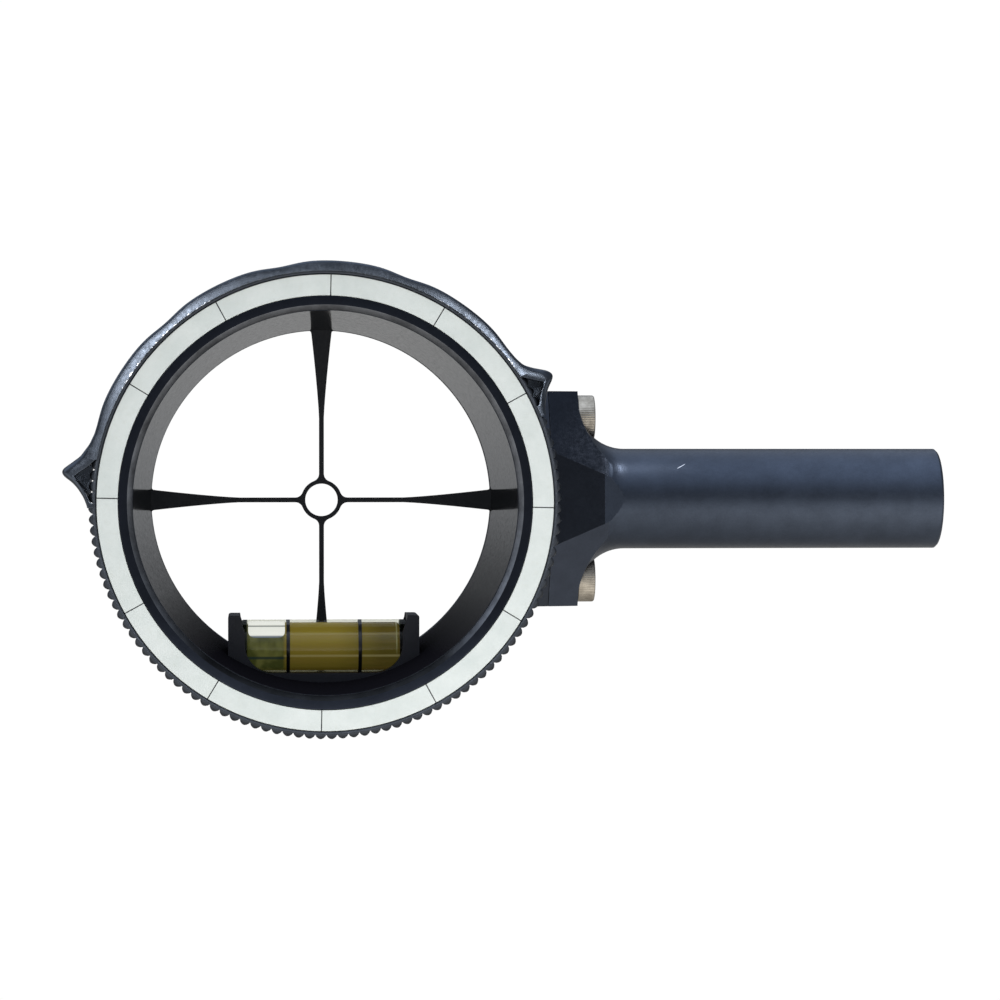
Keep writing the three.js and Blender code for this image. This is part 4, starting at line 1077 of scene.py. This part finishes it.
piece("tube", housing(), "tube", ["housing_tube"], other=("bore", in_bore))
piece("bezel", bezel(), "bezel", ["front_bezel"], other=("chamfer", on_chamfer))
piece("crosshair", crosshair(), "reticle", ["reticle"])
piece("rear_ring", retainer(), "tube", ["reticle_retaining_ring"])
piece("stem_and_flange", stem(), "stem", ["stem"], other=("milled", on_flange_front), crisp=True)
for side, place in zip(("upper", "lower"), screw_places()):
    piece(f"cap_screw_{side}", flange_screw(place), "steel", [f"flange_screw_{side}"])
piece("level_holder", holder(), "holder", ["vial_holder"], sharp=40)
piece("level_shell", vial_shell(), "clear", ["vial_tube", "vial_plug"])
piece("level_liquid", vial_fill(), "liquid", ["vial_liquid"])
for side, x in zip(("left", "right"), LINE_X):
    piece(f"level_line_{side}", vial_line(x), "ink", [f"vial_line_{side}"])
for side, x in (("left", -HOLDER_SCREW_X), ("right", HOLDER_SCREW_X)):
    piece(f"base_screw_{side}", holder_screw(x), "steel", [f"holder_screw_{side}"])
piece("level_bubble", bubble_cap(*span("vial_bubble", 0)), "air", ["vial_bubble"], "bubble")
piece("knurled_rim", knurled_ring(), "ring", ["knurled_ring"], "grip_ring", 50)
piece("scale_band", scale_ring(), "enamel", ["scale_ring"], "grip_ring")
piece("winged_grip", grip_cover(), "cover", ["grip_cover"], "grip_ring", 40)
for side, angle in COVER_SCREW_ANGLES.items():
    piece(f"grip_screw_{side}", cover_screw(angle), "steel", [f"cover_screw_{side}"], "grip_ring")
for node, key in (("friction_o_ring", "rubber"), ("thrust_washer", "glide")):
    carried = frame["nodes"][node]
    carried.data.materials.clear()
    carried.data.materials.append(MATERIALS[key])


# ---- stage, light, camera
FLOOR_R, FLOOR_Z = 6.0, -0.9
WHITE = 1.02
CAMERA_PLACE = (-0.08245, -0.41976, 0.00510)
CAMERA_YAW, CAMERA_PITCH = math.radians(4.027), math.radians(-0.716)
SENSOR, LENS = 36, 126
SOFTBOX_DISTANCE = 0.9
GRIP = ("winged_grip", "knurled_rim")


def floor():
    build = bmesh.new()
    build.faces.new([
        build.verts.new((FLOOR_R * math.cos(a), FLOOR_R * math.sin(a), FLOOR_Z)) for a in around(24)
    ])
    mesh = bpy.data.meshes.new("floor")
    build.to_mesh(mesh)
    build.free()
    s = Shader("pale_floor")
    grain = s.ramp(s.noise(0.05, 3.0), 0.3, 0.7, 0.985, 1.0)
    tone = s.node("ShaderNodeCombineColor", {0: grain, 1: grain, 2: grain}).outputs[0]
    lit = s.node("ShaderNodeEmission", {"Color": tone, "Strength": WHITE}).outputs[0]
    mesh.materials.append(s.out(lit))
    obj = placed("floor", mesh)
    obj.visible_glossy = False
    obj.visible_diffuse = False
    obj.visible_shadow = False


# Brightness around the object by direction: degrees from the viewer, upwards, over the top and
# down behind, as (degrees, on the left and middle, on the right)
SKY = (
    (-180, 0.24, 0.26), (-172, 0.38, 0.36), (-150, 0.42, 0.42), (-123, 0.34, 0.34),
    (-98, 0.42, 0.42), (-62, 0.72, 0.72), (-32, 1.12, 1.12), (-14, 0.95, 0.95), (-3, 0.34, 0.34),
    (5, 0.20, 0.20), (14, 0.22, 0.22), (28, 0.46, 0.34), (54, 0.95, 0.30), (80, 1.05, 0.25),
    (110, 0.95, 0.25), (140, 0.62, 0.25), (160, 0.12, 0.12), (172, 0.04, 0.04), (176, 0.10, 0.12),
    (180, 0.24, 0.26),
)
SKY_EDGE = (0.30, 0.50)
SKY_TINT = {"low": (1.03, 1.0, 0.95), "high": (0.90, 1.0, 1.16)}


def world():
    sky = bpy.data.worlds.new("studio")
    bpy.context.scene.world = sky
    sky.use_nodes = True
    w = Nodes(sky)
    direction = w.node("ShaderNodeTexCoord").outputs["Generated"]
    parts = w.node("ShaderNodeSeparateXYZ", {0: direction}).outputs
    angle = w.math("ARCTAN2", parts["Z"], w.times(parts["Y"], -1.0))
    share = w.ramp(angle, -math.pi, math.pi)
    levels = []
    for column in (1, 2):
        ramp = w.node("ShaderNodeValToRGB", {0: share})
        stops = ramp.color_ramp.elements
        stops.remove(stops[0])
        for i, row in enumerate(SKY):
            where = (row[0] + 180) / 360
            stop = stops[0] if i == 0 else stops.new(where)
            stop.position = where
            stop.color = (row[column],) * 3 + (1,)
        levels.append(ramp.outputs[0])
    side = w.node("ShaderNodeMapRange", {
        "Value": parts["X"], "From Min": SKY_EDGE[0], "From Max": SKY_EDGE[1],
    }, interpolation_type="SMOOTHSTEP").outputs[0]
    tint = w.mix(w.ramp(parts["Z"], -0.4, 0.6), SKY_TINT["low"], SKY_TINT["high"])
    colour = w.vector("MULTIPLY", w.mix(side, *levels), tint)
    soft = w.node("ShaderNodeBackground", {"Color": colour}).outputs[0]
    white = w.node("ShaderNodeBackground", {"Color": (1, 1, 1, 1), "Strength": WHITE}).outputs[0]
    seen = w.node("ShaderNodeLightPath").outputs["Is Camera Ray"]
    choose = w.node("ShaderNodeMixShader", {0: seen, 1: soft, 2: white}).outputs[0]
    w.node("ShaderNodeOutputWorld", {"Surface": choose})


def lamp(kind, name, place, target, power, only, **values):
    """A lamp that shines on some pieces only and that the camera doesn't see."""
    data = bpy.data.lights.new(name, kind)
    data.energy = power
    for key, value in values.items():
        setattr(data, key, value)
    obj = placed(name, data)
    obj.location = place
    obj.rotation_mode = "QUATERNION"
    obj.rotation_quaternion = (Vector(place) - Vector(target)).to_track_quat("Z", "Y")
    obj.visible_camera = False
    lit = bpy.data.collections.new(name)
    for part in only:
        lit.objects.link(bpy.data.objects[part])
    obj.light_linking.receiver_collection = lit


def softbox(name, direction, size, power):
    """A disk of light for the grip, facing the ring."""
    place = AXIS + Vector(direction).normalized() * SOFTBOX_DISTANCE
    lamp("AREA", name, place, AXIS, power, GRIP, shape="DISK", size=size)


def spot(name, place, target, radius, power, angle, only):
    """A soft-edged spot on one side of a piece."""
    lamp("SPOT", name, place, target, power, (only,), shadow_soft_size=radius,
         spot_size=math.radians(angle), spot_blend=1.0)


def camera():
    data = bpy.data.cameras.new("camera")
    data.sensor_width, data.lens = SENSOR, LENS
    data.clip_start, data.clip_end = 0.01, 50
    obj = placed("camera", data)
    yaw, pitch = CAMERA_YAW, CAMERA_PITCH
    ahead = Vector((
        math.sin(yaw) * math.cos(pitch), math.cos(yaw) * math.cos(pitch), math.sin(pitch),
    ))
    obj.location = CAMERA_PLACE
    obj.rotation_mode = "QUATERNION"
    obj.rotation_quaternion = ahead.to_track_quat("-Z", "Y")
    bpy.context.scene.camera = obj


floor()
world()
softbox("key_left", (-0.19, -0.965, 0.19), 0.13, 0.8)
softbox("key_right", (0.225, -0.96, 0.185), 0.08, 0.6)
spot("flare", (0.128, -0.1146, 0.4616), (-0.0389, -0.005, 0.0032), 0.003, 1.6, 2.1,
     "stem_and_flange")
spot("fill", (0.10, -0.75, -0.42), (-0.065, -0.016, -0.018), 0.05, 24, 7.25, "scale_band")
camera()
bpy.context.scene.view_settings.view_transform = "Standard"
